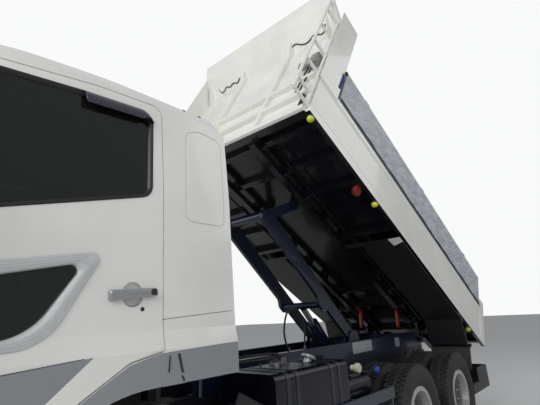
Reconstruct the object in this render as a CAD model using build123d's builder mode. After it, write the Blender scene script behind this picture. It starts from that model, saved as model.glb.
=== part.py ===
from build123d import *
from math import asin, cos, degrees, radians, sin
import os

os.makedirs("parts", exist_ok=True)

# Frame: X forward, Y left, Z up, ground at Z 0, all in millimetres.
# Places along the truck are counted from the middle between the two rear axles.
BOGIE = -1433.0
AXLE_SPREAD = 1310.0
REAR_AXLES = (BOGIE + AXLE_SPREAD / 2, BOGIE - AXLE_SPREAD / 2)
FRONT_AXLE = BOGIE + 3955.0
WHEEL_R = 522.0
AXLE_Z = WHEEL_R

# Wheels
TYRE_WIDTH = 275.0
BEAD_R = 262.0
FLANGE_R = 298.0
RIM_HALF = 106.0
BEAD_HALF = 82.0
RIM_WALL = 12.0
FRONT_WHEEL_Y = 1030.0
TWIN_OUTER_Y = 1085.0
TWIN_INNER_Y = 755.0
SPINDLE_R = 45.0
FIT = 0.05

# Chassis
RAIL_OUT = 425.0
RAIL_TOP = 1065.0
RAIL_DEPTH = 285.0
FLANGE = 85.0
PLATE = 8.0
RAIL_REAR = BOGIE - 1480.0
RAIL_FRONT = BOGIE + 5150.0
SUBFRAME_TOP = 1272.0
SUBFRAME_FRONT = BOGIE + 3100.0
TANK_OUT = 1150.0
GUARD_Y = 1160.0

# Tipping bed: a runs forward along the floor, h square to it, from the lower rear corner
TIP = 30.0
BED_X = BOGIE - 2031.0
BED_Z = 1014.0
BED_LENGTH = 5004.0
BED_HALF = 1200.0
BOARD = 50.0
BOARD_TOP = 600.0
POST_TOP = 755.0
POST_REAR = -52.0
FLOOR_LOW = 74.0
FLOOR_TOP = 80.0
SILL_IN = 350.0
SILL_OUT = 430.0
SILL_LOW = -70.0
WALL = 60.0
HINGE_A = 627.0
HINGE_H = -170.0
HINGE_PIN_R = 32.0
GATE_A = -25.0
GATE_H = 730.0
GATE_PIN_R = 15.0
COVER_REAR = 110.0
COVER_FRONT = 4640.0
LEAF_Y = 1177.0
LEAF_H = 622.0
FOLD_Y = 1157.0
FOLD_H = 1190.0

# Hoist, in the truck's side view
LIFT_X = BOGIE + 450.0
LIFT_Z = 1300.0
LIFT_LENGTH = 2081.0
LIFT_ANGLE = 42.27
LIFT_PIN_R = 30.0
LIFT_IN = 280.0
LIFT_OUT = 320.0
LINK_IN = 240.0
LINK_OUT = 270.0
LINK_A = 3920.0
LINK_H = -40.0
LINK_PIN_R = 28.0
RAM_X = BOGIE + 498.0
RAM_Z = 1113.0
RAM_PIN_R = 25.0
EYE_ALONG = 751.0
EYE_OFF = -99.0

# Cab
CAB_REAR = BOGIE + 3345.0
CAB_FRONT = BOGIE + 5365.0
CAB_LOW = 1075.0
CAB_FLOOR = 1312.0
FOOTWELL = BOGIE + 4330.0
CAB_WALL = 55.0
CAB_HALF = 1204.0
SHOULDER = (1490.0, 1590.0)
ARCH_R = 790.0
ARCH_Y = 850.0
TILT_X = BOGIE + 5200.0
TILT_Z = 800.0
TILT_PIN_R = 20.0
TILT_LUG = (RAIL_OUT + 21, RAIL_OUT + 51)
DOOR_FRONT = BOGIE + 4950.0
GAP = 5.0
DOOR_SKIN = 14.0
DOOR_STEP = 25.0
DOOR_DEPTH = CAB_WALL - GAP
DOOR_AXIS_X = DOOR_FRONT - 2.5
DOOR_AXIS_Y = CAB_HALF + 2.0
DOOR_HINGES = (1170.0, 1350.0)
DOOR_PIN_R = 6.0
KNUCKLE_R = 10.0
GLASS_OUT = 12.0
GLASS_IN = 18.0
TRIM = 4.0


def side(y):
    """Plane with local (x, z), extruding towards -Y."""
    return Plane(origin=(0, y, 0), x_dir=(1, 0, 0), z_dir=(0, -1, 0))


def section(x):
    """Plane with local (y, z), extruding towards +X."""
    return Plane(origin=(x, 0, 0), x_dir=(0, 1, 0), z_dir=(1, 0, 0))


ALONG = Vector(cos(radians(TIP)), 0, sin(radians(TIP)))
ABOVE = Vector(-sin(radians(TIP)), 0, cos(radians(TIP)))


def bed_point(a, y, h):
    """Point of the raised bed."""
    return Vector(BED_X, y, BED_Z) + ALONG * a + ABOVE * h


def bed_side(y):
    """Plane of the bed with local (a, h), extruding towards -Y."""
    return Plane(origin=bed_point(0, y, 0), x_dir=ALONG, z_dir=(0, -1, 0))


def bed_section(a):
    """Plane of the bed with local (y, h), extruding forward."""
    return Plane(origin=bed_point(a, 0, 0), x_dir=(0, 1, 0), z_dir=ALONG)


def bed_level(h):
    """Plane of the bed with local (a, y), extruding upward."""
    return Plane(origin=bed_point(0, 0, h), x_dir=ALONG, z_dir=ABOVE)


HINGE = bed_point(HINGE_A, 0, HINGE_H)


def box(x, y, z, mode=Mode.ADD):
    """Box over three (low, high) ranges of the truck."""
    with BuildSketch(Plane.XY.offset(z[0])) as base:
        with Locations(((x[0] + x[1]) / 2, (y[0] + y[1]) / 2)):
            Rectangle(x[1] - x[0], y[1] - y[0])
    extrude(base.sketch, amount=z[1] - z[0], mode=mode)


def bed_box(a, y, h, mode=Mode.ADD):
    """Box over three (low, high) ranges of the bed."""
    with BuildSketch(bed_level(h[0])) as base:
        with Locations(((a[0] + a[1]) / 2, (y[0] + y[1]) / 2)):
            Rectangle(a[1] - a[0], y[1] - y[0])
    extrude(base.sketch, amount=h[1] - h[0], mode=mode)


def bar(start, end, radius, mode=Mode.ADD):
    """Round bar between two points."""
    run = Vector(*end) - Vector(*start)
    with BuildSketch(Plane(origin=start, z_dir=run)) as end_face:
        Circle(radius)
    extrude(end_face.sketch, amount=run.length, mode=mode)


def cross_bar(x, z, y, radius, mode=Mode.ADD):
    """Round bar across the truck, over a (low, high) range of Y."""
    with BuildSketch(side(y[1])) as end_face:
        with Locations((x, z)):
            Circle(radius)
    extrude(end_face.sketch, amount=y[1] - y[0], mode=mode)


def outline(points, inset=0.0):
    """Closed outline of (u, v, radius) corners, anticlockwise, moved inwards by inset."""
    corners = []
    radii = []
    for i, (u, v, radius) in enumerate(points):
        here = Vector(u, v)
        before = here - Vector(*points[i - 1][:2])
        after = Vector(*points[(i + 1) % len(points)][:2]) - here
        before = before.normalized()
        after = after.normalized()
        left = Vector(-before.Y, before.X)
        right = Vector(-after.Y, after.X)
        turns_left = before.cross(after).Z > 0
        corners.append(here + (left + right) * (inset / (1 + left.dot(right))))
        radii.append(max(radius - inset, 0) if turns_left else radius and radius + inset)
    FilletPolyline(*corners, radius=radii, close=True)


def prism(plane, points, amount, inset=0.0, mode=Mode.ADD):
    """Prism from one closed outline on a plane."""
    with BuildSketch(plane) as sketch:
        with BuildLine() as line:
            outline(points, inset)
        make_face(line.edges())
    extrude(sketch.sketch, amount=amount, mode=mode)


# Cab body: side, cross and plan outlines, each corner with its radius
CAB_SIDE = [
    (CAB_REAR, CAB_FLOOR, 0),
    (FRONT_AXLE, CAB_FLOOR, 0),
    (FRONT_AXLE, CAB_LOW, 0),
    (CAB_FRONT, CAB_LOW, 60),
    (CAB_FRONT, 1900, 400),
    (BOGIE + 5155, 2885, 130),
    (BOGIE + 4700, 2972, 900),
    (BOGIE + 4100, 3040, 900),
    (BOGIE + 3540, 3064, 150),
    (CAB_REAR, 2922, 50),
]
CAB_CROSS = [
    (CAB_HALF, 1000, 0),
    (CAB_HALF, SHOULDER[0], 12),
    (CAB_HALF - 22, SHOULDER[1], 12),
    (1152, 2430, 3000),
    (1102, 3050, 90),
    (0, 3088, 3000),
    (-1102, 3050, 90),
    (-1152, 2430, 3000),
    (22 - CAB_HALF, SHOULDER[1], 12),
    (-CAB_HALF, SHOULDER[0], 12),
    (-CAB_HALF, 1000, 0),
]
CAB_PLAN = [
    (BOGIE + 3000, -1400, 0),
    (BOGIE + 4870, -1400, 0),
    (BOGIE + 5225, -1110, 420),
    (CAB_FRONT - 20, -800, 300),
    (CAB_FRONT + 5, 0, 3000),
    (CAB_FRONT - 20, 800, 300),
    (BOGIE + 5225, 1110, 420),
    (BOGIE + 4870, 1400, 0),
    (BOGIE + 3000, 1400, 0),
]


def cab_body(inset):
    """The cab's outer form, moved inwards by inset on every side."""
    with BuildPart() as body:
        prism(side(1500), CAB_SIDE, 3000, inset=inset)
        prism(section(BOGIE + 3000), CAB_CROSS, 3000, mode=Mode.INTERSECT, inset=inset)
        prism(Plane.XY.offset(900), CAB_PLAN, 2300, mode=Mode.INTERSECT, inset=inset)
        half = ARCH_Y + inset
        box((BOGIE + 3000, FOOTWELL + inset), (-half, half), (900, CAB_FLOOR + inset), mode=Mode.SUBTRACT)
        for y in ((ARCH_Y - inset, 1300), (-1300, inset - ARCH_Y)):
            cross_bar(FRONT_AXLE, AXLE_Z, y, ARCH_R + inset, mode=Mode.SUBTRACT)
    return body.part


CAB_SKIN = cab_body(0)
CAB_CAVITY = cab_body(CAB_WALL)
CAB_PROUD = cab_body(-TRIM)

DOOR = [
    (BOGIE + 3877, 1483, 20),
    (BOGIE + 4080, 1442, 100),
    (BOGIE + 4315, 1306, 100),
    (BOGIE + 4492, 1118, 20),
    (DOOR_FRONT, 1118, 40),
    (DOOR_FRONT, 2862, 60),
    (BOGIE + 4300, 2945, 900),
    (BOGIE + 3877, 2962, 75),
]
UPPER_WINDOW = [
    (BOGIE + 3958, 2340, 80),
    (BOGIE + 4850, 2112, 60),
    (BOGIE + 4880, 2826, 60),
    (BOGIE + 4360, 2875, 900),
    (BOGIE + 3945, 2898, 75),
]
LOWER_WINDOW = [
    (BOGIE + 4458, 1556, 110),
    (BOGIE + 4840, 1542, 50),
    (BOGIE + 4850, 1886, 50),
    (BOGIE + 4228, 1988, 30),
]
REAR_WINDOW = [
    (-560, 2080, 60),
    (560, 2080, 60),
    (560, 2560, 60),
    (-560, 2560, 60),
]
WINDSCREEN = [
    (-1010, 1985, 90),
    (1010, 1985, 90),
    (965, 2800, 110),
    (-965, 2800, 110),
]
QUARTER_PANEL = [
    (BOGIE + 3400, 2225, 55),
    (BOGIE + 3720, 2225, 55),
    (BOGIE + 3696, 2842, 60),
    (BOGIE + 3590, 2886, 90),
    (BOGIE + 3392, 2868, 60),
]
TUNNEL = ((CAB_REAR - 10, BOGIE + 4790), (-390, 390), (CAB_LOW, 1650))
TUNNEL_WALL = 30.0

# Ladder frame: two channels, cross-members, cab mounts and tilt brackets
CHANNEL = [
    (RAIL_OUT - FLANGE, RAIL_TOP - RAIL_DEPTH, 0),
    (RAIL_OUT, RAIL_TOP - RAIL_DEPTH, 0),
    (RAIL_OUT, RAIL_TOP, 0),
    (RAIL_OUT - FLANGE, RAIL_TOP, 0),
    (RAIL_OUT - FLANGE, RAIL_TOP - PLATE, 0),
    (RAIL_OUT - PLATE, RAIL_TOP - PLATE, 0),
    (RAIL_OUT - PLATE, RAIL_TOP - RAIL_DEPTH + PLATE, 0),
    (RAIL_OUT - FLANGE, RAIL_TOP - RAIL_DEPTH + PLATE, 0),
]
WEB = RAIL_OUT - PLATE
TILT_PLATE = 16.0
TILT_PIN_END = RAIL_OUT + 66.0
PIN_COLLAR = 10.0
CAB_MOUNT = (BOGIE + 3420.0, BOGIE + 3490.0)
CAB_MOUNT_Z = (1230.0, 1275.0)
BUFFER_R = 32.0
BUFFER_HEIGHT = 37.0
BUFFER_Z = CAB_FLOOR - 18.8
CROSS_MEMBERS = (-1400, -250, 850, 1650, 2550, 5080)
CROSS_HALF = 30.0
CROSS_Z = (850.0, 1000.0)
with BuildPart() as frame_rails:
    prism(section(RAIL_REAR), CHANNEL, RAIL_FRONT - RAIL_REAR)
    box((RAIL_FRONT - 60, RAIL_FRONT + 95), (RAIL_OUT, RAIL_OUT + TILT_PLATE), (TILT_Z - 45, TILT_Z + 150))
    cross_bar(TILT_X, TILT_Z, (RAIL_OUT + TILT_PLATE, TILT_PIN_END), TILT_PIN_R)
    cross_bar(TILT_X, TILT_Z, (TILT_PIN_END - PIN_COLLAR, TILT_PIN_END), TILT_PIN_R + 12)
    box(CAB_MOUNT, (RAIL_OUT - FLANGE, RAIL_OUT), (RAIL_TOP, CAB_MOUNT_Z[0]))
    box(CAB_MOUNT, (RAIL_OUT - FLANGE, RAIL_OUT + 90), CAB_MOUNT_Z)
    with Locations(((CAB_MOUNT[0] + CAB_MOUNT[1]) / 2, RAIL_OUT + 50, BUFFER_Z)):
        Cylinder(radius=BUFFER_R, height=BUFFER_HEIGHT)
    mirror(about=Plane.XZ)
    for x in CROSS_MEMBERS:
        box((BOGIE + x - CROSS_HALF, BOGIE + x + CROSS_HALF), (-WEB, WEB), CROSS_Z)
frame_rails.part.label = "frame_rails"
export_step(frame_rails.part, "parts/frame_rails.step")

# Tipping subframe: lighter channels on the ladder frame, rear hinge pins, hoist base
SUB_CHANNEL = [
    (RAIL_OUT - 80, RAIL_TOP, 0),
    (RAIL_OUT, RAIL_TOP, 0),
    (RAIL_OUT, SUBFRAME_TOP, 0),
    (RAIL_OUT - 80, SUBFRAME_TOP, 0),
    (RAIL_OUT - 80, SUBFRAME_TOP - PLATE, 0),
    (RAIL_OUT - PLATE, SUBFRAME_TOP - PLATE, 0),
    (RAIL_OUT - PLATE, RAIL_TOP + PLATE, 0),
    (RAIL_OUT - 80, RAIL_TOP + PLATE, 0),
]
SUB_END = [
    (RAIL_REAR - 1, 1200, 0),
    (HINGE.X + 23, SUBFRAME_TOP, 0),
    (HINGE.X + 23, SUBFRAME_TOP + 1, 0),
    (RAIL_REAR - 1, SUBFRAME_TOP + 1, 0),
]
BASE = [
    (LIFT_X - 125, RAIL_TOP + 5, 0),
    (LIFT_X + 125, RAIL_TOP + 5, 0),
    (LIFT_X + 125, 1280, 40),
    (LIFT_X + 75, 1395, 60),
    (LIFT_X - 75, 1395, 60),
    (LIFT_X - 125, 1280, 40),
]
HINGE_PIN_END = RAIL_OUT + 47.0
HINGE_TUBE_R = 50.0
BASE_PLATES = ((255, 275), (325, 341))
BASE_CROSS = (RAIL_TOP + 5, 1215.0)
LIFT_PIN_Y = (250.0, 345.0)
RAM_PIN_END = 260.0
SUB_CROSS_MEMBERS = (BOGIE - 1150, SUBFRAME_FRONT - 40)
SUB_CROSS_HALF = 35.0
SUB_CROSS_Z = (1100.0, 1240.0)
with BuildPart() as subframe:
    prism(section(RAIL_REAR), SUB_CHANNEL, SUBFRAME_FRONT - RAIL_REAR)
    prism(side(RAIL_OUT + 1), SUB_END, 90, mode=Mode.SUBTRACT)
    cross_bar(HINGE.X, HINGE.Z, (0, RAIL_OUT), HINGE_TUBE_R)
    cross_bar(HINGE.X, HINGE.Z, (RAIL_OUT, HINGE_PIN_END), HINGE_PIN_R)
    cross_bar(HINGE.X, HINGE.Z, (HINGE_PIN_END - PIN_COLLAR, HINGE_PIN_END), HINGE_PIN_R + 13)
    for low, high in BASE_PLATES:
        prism(side(high), BASE, high - low)
    box((LIFT_X - 100, LIFT_X + 100), (BASE_PLATES[0][1], WEB), BASE_CROSS)
    cross_bar(LIFT_X, LIFT_Z, LIFT_PIN_Y, LIFT_PIN_R)
    cross_bar(RAM_X, RAM_Z, (0, RAM_PIN_END), RAM_PIN_R)
    mirror(about=Plane.XZ)
    for x in SUB_CROSS_MEMBERS:
        box((x - SUB_CROSS_HALF, x + SUB_CROSS_HALF), (-WEB, WEB), SUB_CROSS_Z)
subframe.part.label = "subframe"
export_step(subframe.part, "parts/subframe.step")

# Engine: one block on four feet
ENGINE_REAR = BOGIE + 3300.0
ENGINE_FRONT = BOGIE + 4600.0
ENGINE_HALF = 300.0
ENGINE_Z = (620.0, 1550.0)
ENGINE_EDGE = 60.0
ENGINE_FEET = (BOGIE + 3420, BOGIE + 4320)
FOOT_LENGTH = 80.0
FOOT_Z = (900.0, 960.0)
with BuildPart() as engine:
    box((ENGINE_REAR, ENGINE_FRONT), (-ENGINE_HALF, ENGINE_HALF), ENGINE_Z)
    fillet(engine.edges().filter_by(Axis.X), radius=ENGINE_EDGE)
    for x in ENGINE_FEET:
        box((x, x + FOOT_LENGTH), (-WEB, WEB), FOOT_Z)
engine.part.label = "engine"
export_step(engine.part, "parts/engine.step")

# Leaf springs: arched packs with hangers in front, inverted packs on trunnions behind
FRONT_LEAF = 720.0
FRONT_SPRING = [(-FRONT_LEAF, 730, 700), (0, 570, 500), (FRONT_LEAF, 730, 700)]
REAR_SPRING = [(-690, 640, 600), (0, 800, 700), (690, 640, 600)]


def leaf_pack(x, stations, low, high):
    """Arched pack through three (offset, top, bottom) stations between two planes."""
    top = [(x + u, v) for u, v, _ in stations]
    bottom = [(x + u, v) for u, _, v in stations]
    with BuildSketch(side(high)) as sketch:
        with BuildLine():
            ThreePointArc(*top)
            ThreePointArc(*bottom)
            Line(top[0], bottom[0])
            Line(top[-1], bottom[-1])
        make_face()
    extrude(sketch.sketch, amount=high - low)


TRUNNION_Z = 640.0
TRUNNION_R = 70.0
FRONT_PACK = (375.0, 455.0)
REAR_PACK = (480.0, 570.0)
with BuildPart() as springs:
    leaf_pack(FRONT_AXLE, FRONT_SPRING, *FRONT_PACK)
    for x in (FRONT_AXLE - FRONT_LEAF, FRONT_AXLE + FRONT_LEAF):
        box((x - 35, x + 35), (380, 450), (700, RAIL_TOP - RAIL_DEPTH))
    leaf_pack(BOGIE, REAR_SPRING, *REAR_PACK)
    box((BOGIE - 80, BOGIE + 80), REAR_PACK, (TRUNNION_Z, 715))
    cross_bar(BOGIE, TRUNNION_Z, (RAIL_OUT, REAR_PACK[1] + 5), TRUNNION_R)
    prism(side(RAIL_OUT + 20), [
        (BOGIE - 90, 570, 60),
        (BOGIE + 90, 570, 60),
        (BOGIE + 230, 1000, 20),
        (BOGIE - 230, 1000, 20),
    ], 20)
    mirror(about=Plane.XZ)
springs.part.label = "springs"
export_step(springs.part, "parts/springs.step")


# Rear axles: banjo housing, tapering arms, spindles for the hubs
INPUT_X = 190.0
BANJO_R = 195.0
BANJO_HALF = 150.0
INPUT_R = 70.0
ARM_Y = (140.0, 600.0, 1100.0)
with BuildPart() as rear_axles:
    for x in REAR_AXLES:
        with BuildSketch(section(x - BANJO_HALF)):
            with Locations((0, AXLE_Z)):
                Circle(BANJO_R)
        extrude(amount=2 * BANJO_HALF)
        with BuildSketch(section(x - INPUT_X)):
            with Locations((0, AXLE_Z + 50)):
                Circle(INPUT_R)
        extrude(amount=2 * INPUT_X)
        for s in (1, -1):
            with BuildSketch(side(s * ARM_Y[0])):
                with Locations((x, AXLE_Z)):
                    RectangleRounded(210, 190, 60)
            with BuildSketch(side(s * ARM_Y[1])):
                with Locations((x, AXLE_Z)):
                    RectangleRounded(140, 140, 50)
            loft()
            low, high = sorted((s * ARM_Y[1], s * ARM_Y[2]))
            cross_bar(x, AXLE_Z, (low, high), SPINDLE_R)
            low, high = sorted((s * 485, s * 565))
            box((x - 35, x + 35), (low, high), (AXLE_Z, 640))
    add(springs.part, mode=Mode.SUBTRACT)
rear_axles.part.label = "rear_axles"
export_step(rear_axles.part, "parts/rear_axles.step")

# Gearbox and propeller shafts
GEARBOX = [
    (BOGIE + 2640, 690, 20),
    (BOGIE + 2900, 660, 40),
    (ENGINE_REAR, 640, 0),
    (ENGINE_REAR, 1030, 0),
    (BOGIE + 2900, 980, 60),
    (BOGIE + 2640, 860, 30),
]
GEARBOX_HALF = 200.0
MAIN_SHAFT_R = 52.0
REAR_SHAFT_R = 45.0
with BuildPart() as driveline:
    prism(side(GEARBOX_HALF), GEARBOX, 2 * GEARBOX_HALF)
    bar((BOGIE + 2640, 0, 770), (REAR_AXLES[0] + INPUT_X, 0, AXLE_Z + 60), MAIN_SHAFT_R)
    bar((REAR_AXLES[0] - INPUT_X, 0, AXLE_Z + 40), (REAR_AXLES[1] + INPUT_X, 0, AXLE_Z + 60), REAR_SHAFT_R)
    add(rear_axles.part, mode=Mode.SUBTRACT)
driveline.part.label = "driveline"
export_step(driveline.part, "parts/driveline.step")

# Front axle: dropped forged beam with kingpin eyes
KINGPIN_Y = 830.0
KINGPIN_R = 25.0
BEAM_TOP = [
    (-KINGPIN_Y, 560, 0),
    (-KINGPIN_Y, 480, 0),
    (-620, 470, 90),
    (-520, 400, 90),
    (520, 400, 90),
    (620, 470, 90),
    (KINGPIN_Y, 480, 0),
    (KINGPIN_Y, 560, 0),
    (620, 560, 90),
    (520, 500, 90),
    (-520, 500, 90),
    (-620, 560, 90),
]
BEAM_HALF = 45.0
EYE_R = 46.0
EYE_HEIGHT = 84.0
with BuildPart() as front_axle:
    prism(section(FRONT_AXLE - BEAM_HALF), BEAM_TOP, 2 * BEAM_HALF)
    for y in (-KINGPIN_Y, KINGPIN_Y):
        with Locations((FRONT_AXLE, y, AXLE_Z - 2)):
            Cylinder(radius=EYE_R, height=EYE_HEIGHT)
            Cylinder(radius=KINGPIN_R + FIT, height=EYE_HEIGHT + 6, mode=Mode.SUBTRACT)
front_axle.part.label = "front_axle"
export_step(front_axle.part, "parts/front_axle.step")

# Steering knuckles: forked yoke, kingpin, steering arm and stub axle
YOKE = [
    (KINGPIN_Y - 40, 430, 12),
    (KINGPIN_Y + 88, 430, 12),
    (KINGPIN_Y + 88, 614, 12),
    (KINGPIN_Y - 40, 614, 12),
    (KINGPIN_Y - 40, 574, 0),
    (KINGPIN_Y + 58, 566, 12),
    (KINGPIN_Y + 58, 474, 12),
    (KINGPIN_Y - 40, 466, 0),
]
YOKE_HALF = 42.0
KINGPIN_LENGTH = 150.0
STUB_END = 1105.0
STEERING_ARM = 230.0
for label, s in (("knuckle_left", 1), ("knuckle_right", -1)):
    with BuildPart() as knuckle:
        prism(section(FRONT_AXLE - YOKE_HALF), YOKE, 2 * YOKE_HALF)
        with Locations((FRONT_AXLE, KINGPIN_Y, AXLE_Z)):
            Cylinder(radius=KINGPIN_R, height=KINGPIN_LENGTH)
        cross_bar(FRONT_AXLE, AXLE_Z, (KINGPIN_Y + 80, STUB_END), SPINDLE_R)
        box((FRONT_AXLE - STEERING_ARM, FRONT_AXLE), (KINGPIN_Y - 20, KINGPIN_Y + 20), (430, 455))
        if s < 0:
            mirror(about=Plane.XZ, mode=Mode.REPLACE)
    knuckle.part.label = label
    export_step(knuckle.part, f"parts/{label}.step")


def tyre_section(y):
    """Half section of a tyre as (radius, y) corners with their radii."""
    half = TYRE_WIDTH / 2
    return [
        (BEAD_R, y - BEAD_HALF, 0),
        (BEAD_R, y + BEAD_HALF, 0),
        (FLANGE_R + 4, y + BEAD_HALF, 0),
        (400, y + half, 120),
        (WHEEL_R - 45, y + half - 20, 60),
        (WHEEL_R, y + half - 38, 14),
        (WHEEL_R, y - half + 38, 14),
        (WHEEL_R - 45, y - half + 20, 60),
        (400, y - half, 120),
        (FLANGE_R + 4, y - BEAD_HALF, 0),
    ]


def spin(x, corners):
    """Solid of revolution about a wheel's axle from (radius, y, corner radius) points."""
    with BuildSketch(Plane(origin=(x, 0, AXLE_Z), x_dir=(1, 0, 0), z_dir=(0, 0, 1))) as sketch:
        with BuildLine() as line:
            outline(corners)
        make_face(line.edges())
    revolve(sketch.sketch, axis=Axis((x, 0, AXLE_Z), (0, 1, 0)))


def rim_ring(x, y):
    """Drop-centre rim with two flanges."""
    spin(x, [
        (BEAD_R - RIM_WALL, y - RIM_HALF, 0),
        (BEAD_R - RIM_WALL - 18, y - 30, 30),
        (BEAD_R - RIM_WALL - 18, y + 30, 30),
        (BEAD_R - RIM_WALL, y + RIM_HALF, 0),
        (FLANGE_R, y + RIM_HALF, 6),
        (FLANGE_R, y + RIM_HALF - 12, 0),
        (BEAD_R, y + RIM_HALF - 16, 6),
        (BEAD_R, y - RIM_HALF + 16, 6),
        (FLANGE_R, y - RIM_HALF + 12, 0),
        (FLANGE_R, y - RIM_HALF, 6),
    ])


DISC_INNER_R = 84.0
DISC_BEND_R = 178.0
DISC_OUTER_R = 246.0
HOLE_COUNT = 8
HOLE_CIRCLE_R = 208.0
HOLE_R = 26.0


def wheel_disc(x, y_rim, y_face, depth):
    """Dished disc from the rim's barrel to the bolting face."""
    spin(x, [
        (DISC_INNER_R, y_face - depth, 0),
        (DISC_BEND_R, y_face - depth, 30),
        (DISC_OUTER_R, y_rim - depth, 0),
        (DISC_OUTER_R, y_rim, 0),
        (DISC_BEND_R, y_face, 30),
        (DISC_INNER_R, y_face, 0),
    ])


def hand_holes(x, y):
    """Ventilation holes through a wheel disc."""
    for i in range(HOLE_COUNT):
        angle = radians(360 * (i + 0.5) / HOLE_COUNT)
        centre = (x + HOLE_CIRCLE_R * cos(angle), AXLE_Z + HOLE_CIRCLE_R * sin(angle))
        cross_bar(*centre, y, HOLE_R, mode=Mode.SUBTRACT)


WHEELS = [("front_left", FRONT_AXLE, 1), ("front_right", FRONT_AXLE, -1)]
for row, axle in zip(("middle", "rear"), REAR_AXLES):
    WHEELS += [(f"{row}_left", axle, 1), (f"{row}_right", axle, -1)]

# Wheels: front ones with the disc bulging out, rear twins bolted face to face at the hub
DISC = 12.0
HUB_R = 86.0
DRUM_R = 205.0
CAP_R = 60.0
TWIN_FACE = (TWIN_OUTER_Y + TWIN_INNER_Y) / 2
for place, x, s in WHEELS:
    steered = x == FRONT_AXLE
    with BuildPart() as rim:
        if steered:
            rim_ring(x, FRONT_WHEEL_Y)
            wheel_disc(x, FRONT_WHEEL_Y + 45, FRONT_WHEEL_Y + 98, DISC)
            hand_holes(x, (FRONT_WHEEL_Y, FRONT_WHEEL_Y + 130))
            cross_bar(x, AXLE_Z, (930, FRONT_WHEEL_Y + 120), HUB_R)
            cross_bar(x, AXLE_Z, (935, 970), DRUM_R)
            cross_bar(x, AXLE_Z, (920, 1115), SPINDLE_R + FIT, mode=Mode.SUBTRACT)
        else:
            rim_ring(x, TWIN_OUTER_Y)
            rim_ring(x, TWIN_INNER_Y)
            wheel_disc(x, TWIN_OUTER_Y - 60, TWIN_FACE + DISC, DISC)
            wheel_disc(x, TWIN_INNER_Y + 60 + DISC, TWIN_FACE, DISC)
            hand_holes(x, (TWIN_INNER_Y + 40, TWIN_OUTER_Y - 40))
            cross_bar(x, AXLE_Z, (640, 1120), HUB_R)
            cross_bar(x, AXLE_Z, (650, 880), DRUM_R)
            cross_bar(x, AXLE_Z, (630, 1110), SPINDLE_R + FIT, mode=Mode.SUBTRACT)
            cross_bar(x, AXLE_Z, (1120, 1140), CAP_R)
        if s < 0:
            mirror(about=Plane.XZ, mode=Mode.REPLACE)
    rim.part.label = f"rim_{place}"
    export_step(rim.part, f"parts/rim_{place}.step")
    with BuildPart() as tyre:
        for y in (FRONT_WHEEL_Y,) if steered else (TWIN_OUTER_Y, TWIN_INNER_Y):
            spin(x, tyre_section(s * y))
    tyre.part.label = f"tyre_{place}"
    export_step(tyre.part, f"parts/tyre_{place}.step")

# Fuel tank on the left, on two bracket arms under paired straps
TANK_X = (BOGIE + 2000, BOGIE + 2950)
TANK_Y = (600.0, TANK_OUT)
TANK_Z = (670.0, 1236.0)
STRAPS = (BOGIE + 2140, BOGIE + 2250, BOGIE + 2700, BOGIE + 2810)
TANK_EDGE = 55.0
STRAP_WIDTH = 40.0
STRAP_THICK = 4.0
FILLER = (BOGIE + 2062, 900)
FILLER_R = 50.0
FILLER_HEIGHT = 30.0
with BuildPart() as fuel_tank:
    box(TANK_X, TANK_Y, TANK_Z)
    fillet(fuel_tank.edges().filter_by(Axis.X), radius=TANK_EDGE)
    with Locations((*FILLER, TANK_Z[1] + FILLER_HEIGHT / 2)):
        Cylinder(radius=FILLER_R, height=FILLER_HEIGHT)
fuel_tank.part.label = "fuel_tank"
export_step(fuel_tank.part, "parts/fuel_tank.step")

BRACKET_LENGTH = 150.0
with BuildPart() as tank_straps:
    for x in STRAPS:
        with BuildSketch(section(x - STRAP_WIDTH / 2)):
            centre = ((TANK_Y[0] + TANK_Y[1]) / 2, (TANK_Z[0] + TANK_Z[1]) / 2)
            wide = TANK_Y[1] - TANK_Y[0]
            tall = TANK_Z[1] - TANK_Z[0]
            with Locations(centre):
                RectangleRounded(wide + 2 * STRAP_THICK, tall + 2 * STRAP_THICK, TANK_EDGE + STRAP_THICK)
                RectangleRounded(wide, tall, TANK_EDGE, mode=Mode.SUBTRACT)
        extrude(amount=STRAP_WIDTH)
    for x in (STRAPS[0], STRAPS[2]):
        arm = (x - STRAP_WIDTH / 2, x + BRACKET_LENGTH - STRAP_WIDTH / 2)
        box(arm, (RAIL_OUT, TANK_Y[0] - STRAP_THICK), (700, 1020))
        box(arm, (RAIL_OUT, 1100), (TANK_Z[0] - STRAP_THICK - 40, TANK_Z[0] - STRAP_THICK))
tank_straps.part.label = "tank_straps"
export_step(tank_straps.part, "parts/tank_straps.step")

# Air tanks above a battery box, left side between the tank and the rear wheels
AIR_TANK_X = (BOGIE + 1330, BOGIE + 1900)
AIR_TANK_Z = 930.0
AIR_TANK_R = 115.0
with BuildPart() as air_tanks:
    for y in (620, 900):
        bar((AIR_TANK_X[0], y, AIR_TANK_Z), (AIR_TANK_X[1], y, AIR_TANK_Z), AIR_TANK_R)
    fillet(air_tanks.edges().filter_by(GeomType.CIRCLE), radius=40)
    for x in (1420, 1770):
        box((BOGIE + x, BOGIE + x + 40), (RAIL_OUT, 1010), (792, 820))
        box((BOGIE + x, BOGIE + x + 40), (RAIL_OUT, 480), (820, 1040))
air_tanks.part.label = "air_tanks"
export_step(air_tanks.part, "parts/air_tanks.step")

BATTERY_Y = (560.0, 1120.0)
BATTERY_ARM = (BOGIE + 1500, BOGIE + 1740)
with BuildPart() as battery_box:
    box((BOGIE + 1330, BOGIE + 1930), BATTERY_Y, (470, 770))
    fillet(battery_box.edges().filter_by(Axis.Z), radius=30)
    box(BATTERY_ARM, (RAIL_OUT, BATTERY_Y[0]), (700, 780))
    box(BATTERY_ARM, (RAIL_OUT, RAIL_OUT + 10), (780, 1000))
battery_box.part.label = "battery_box"
export_step(battery_box.part, "parts/battery_box.step")

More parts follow.
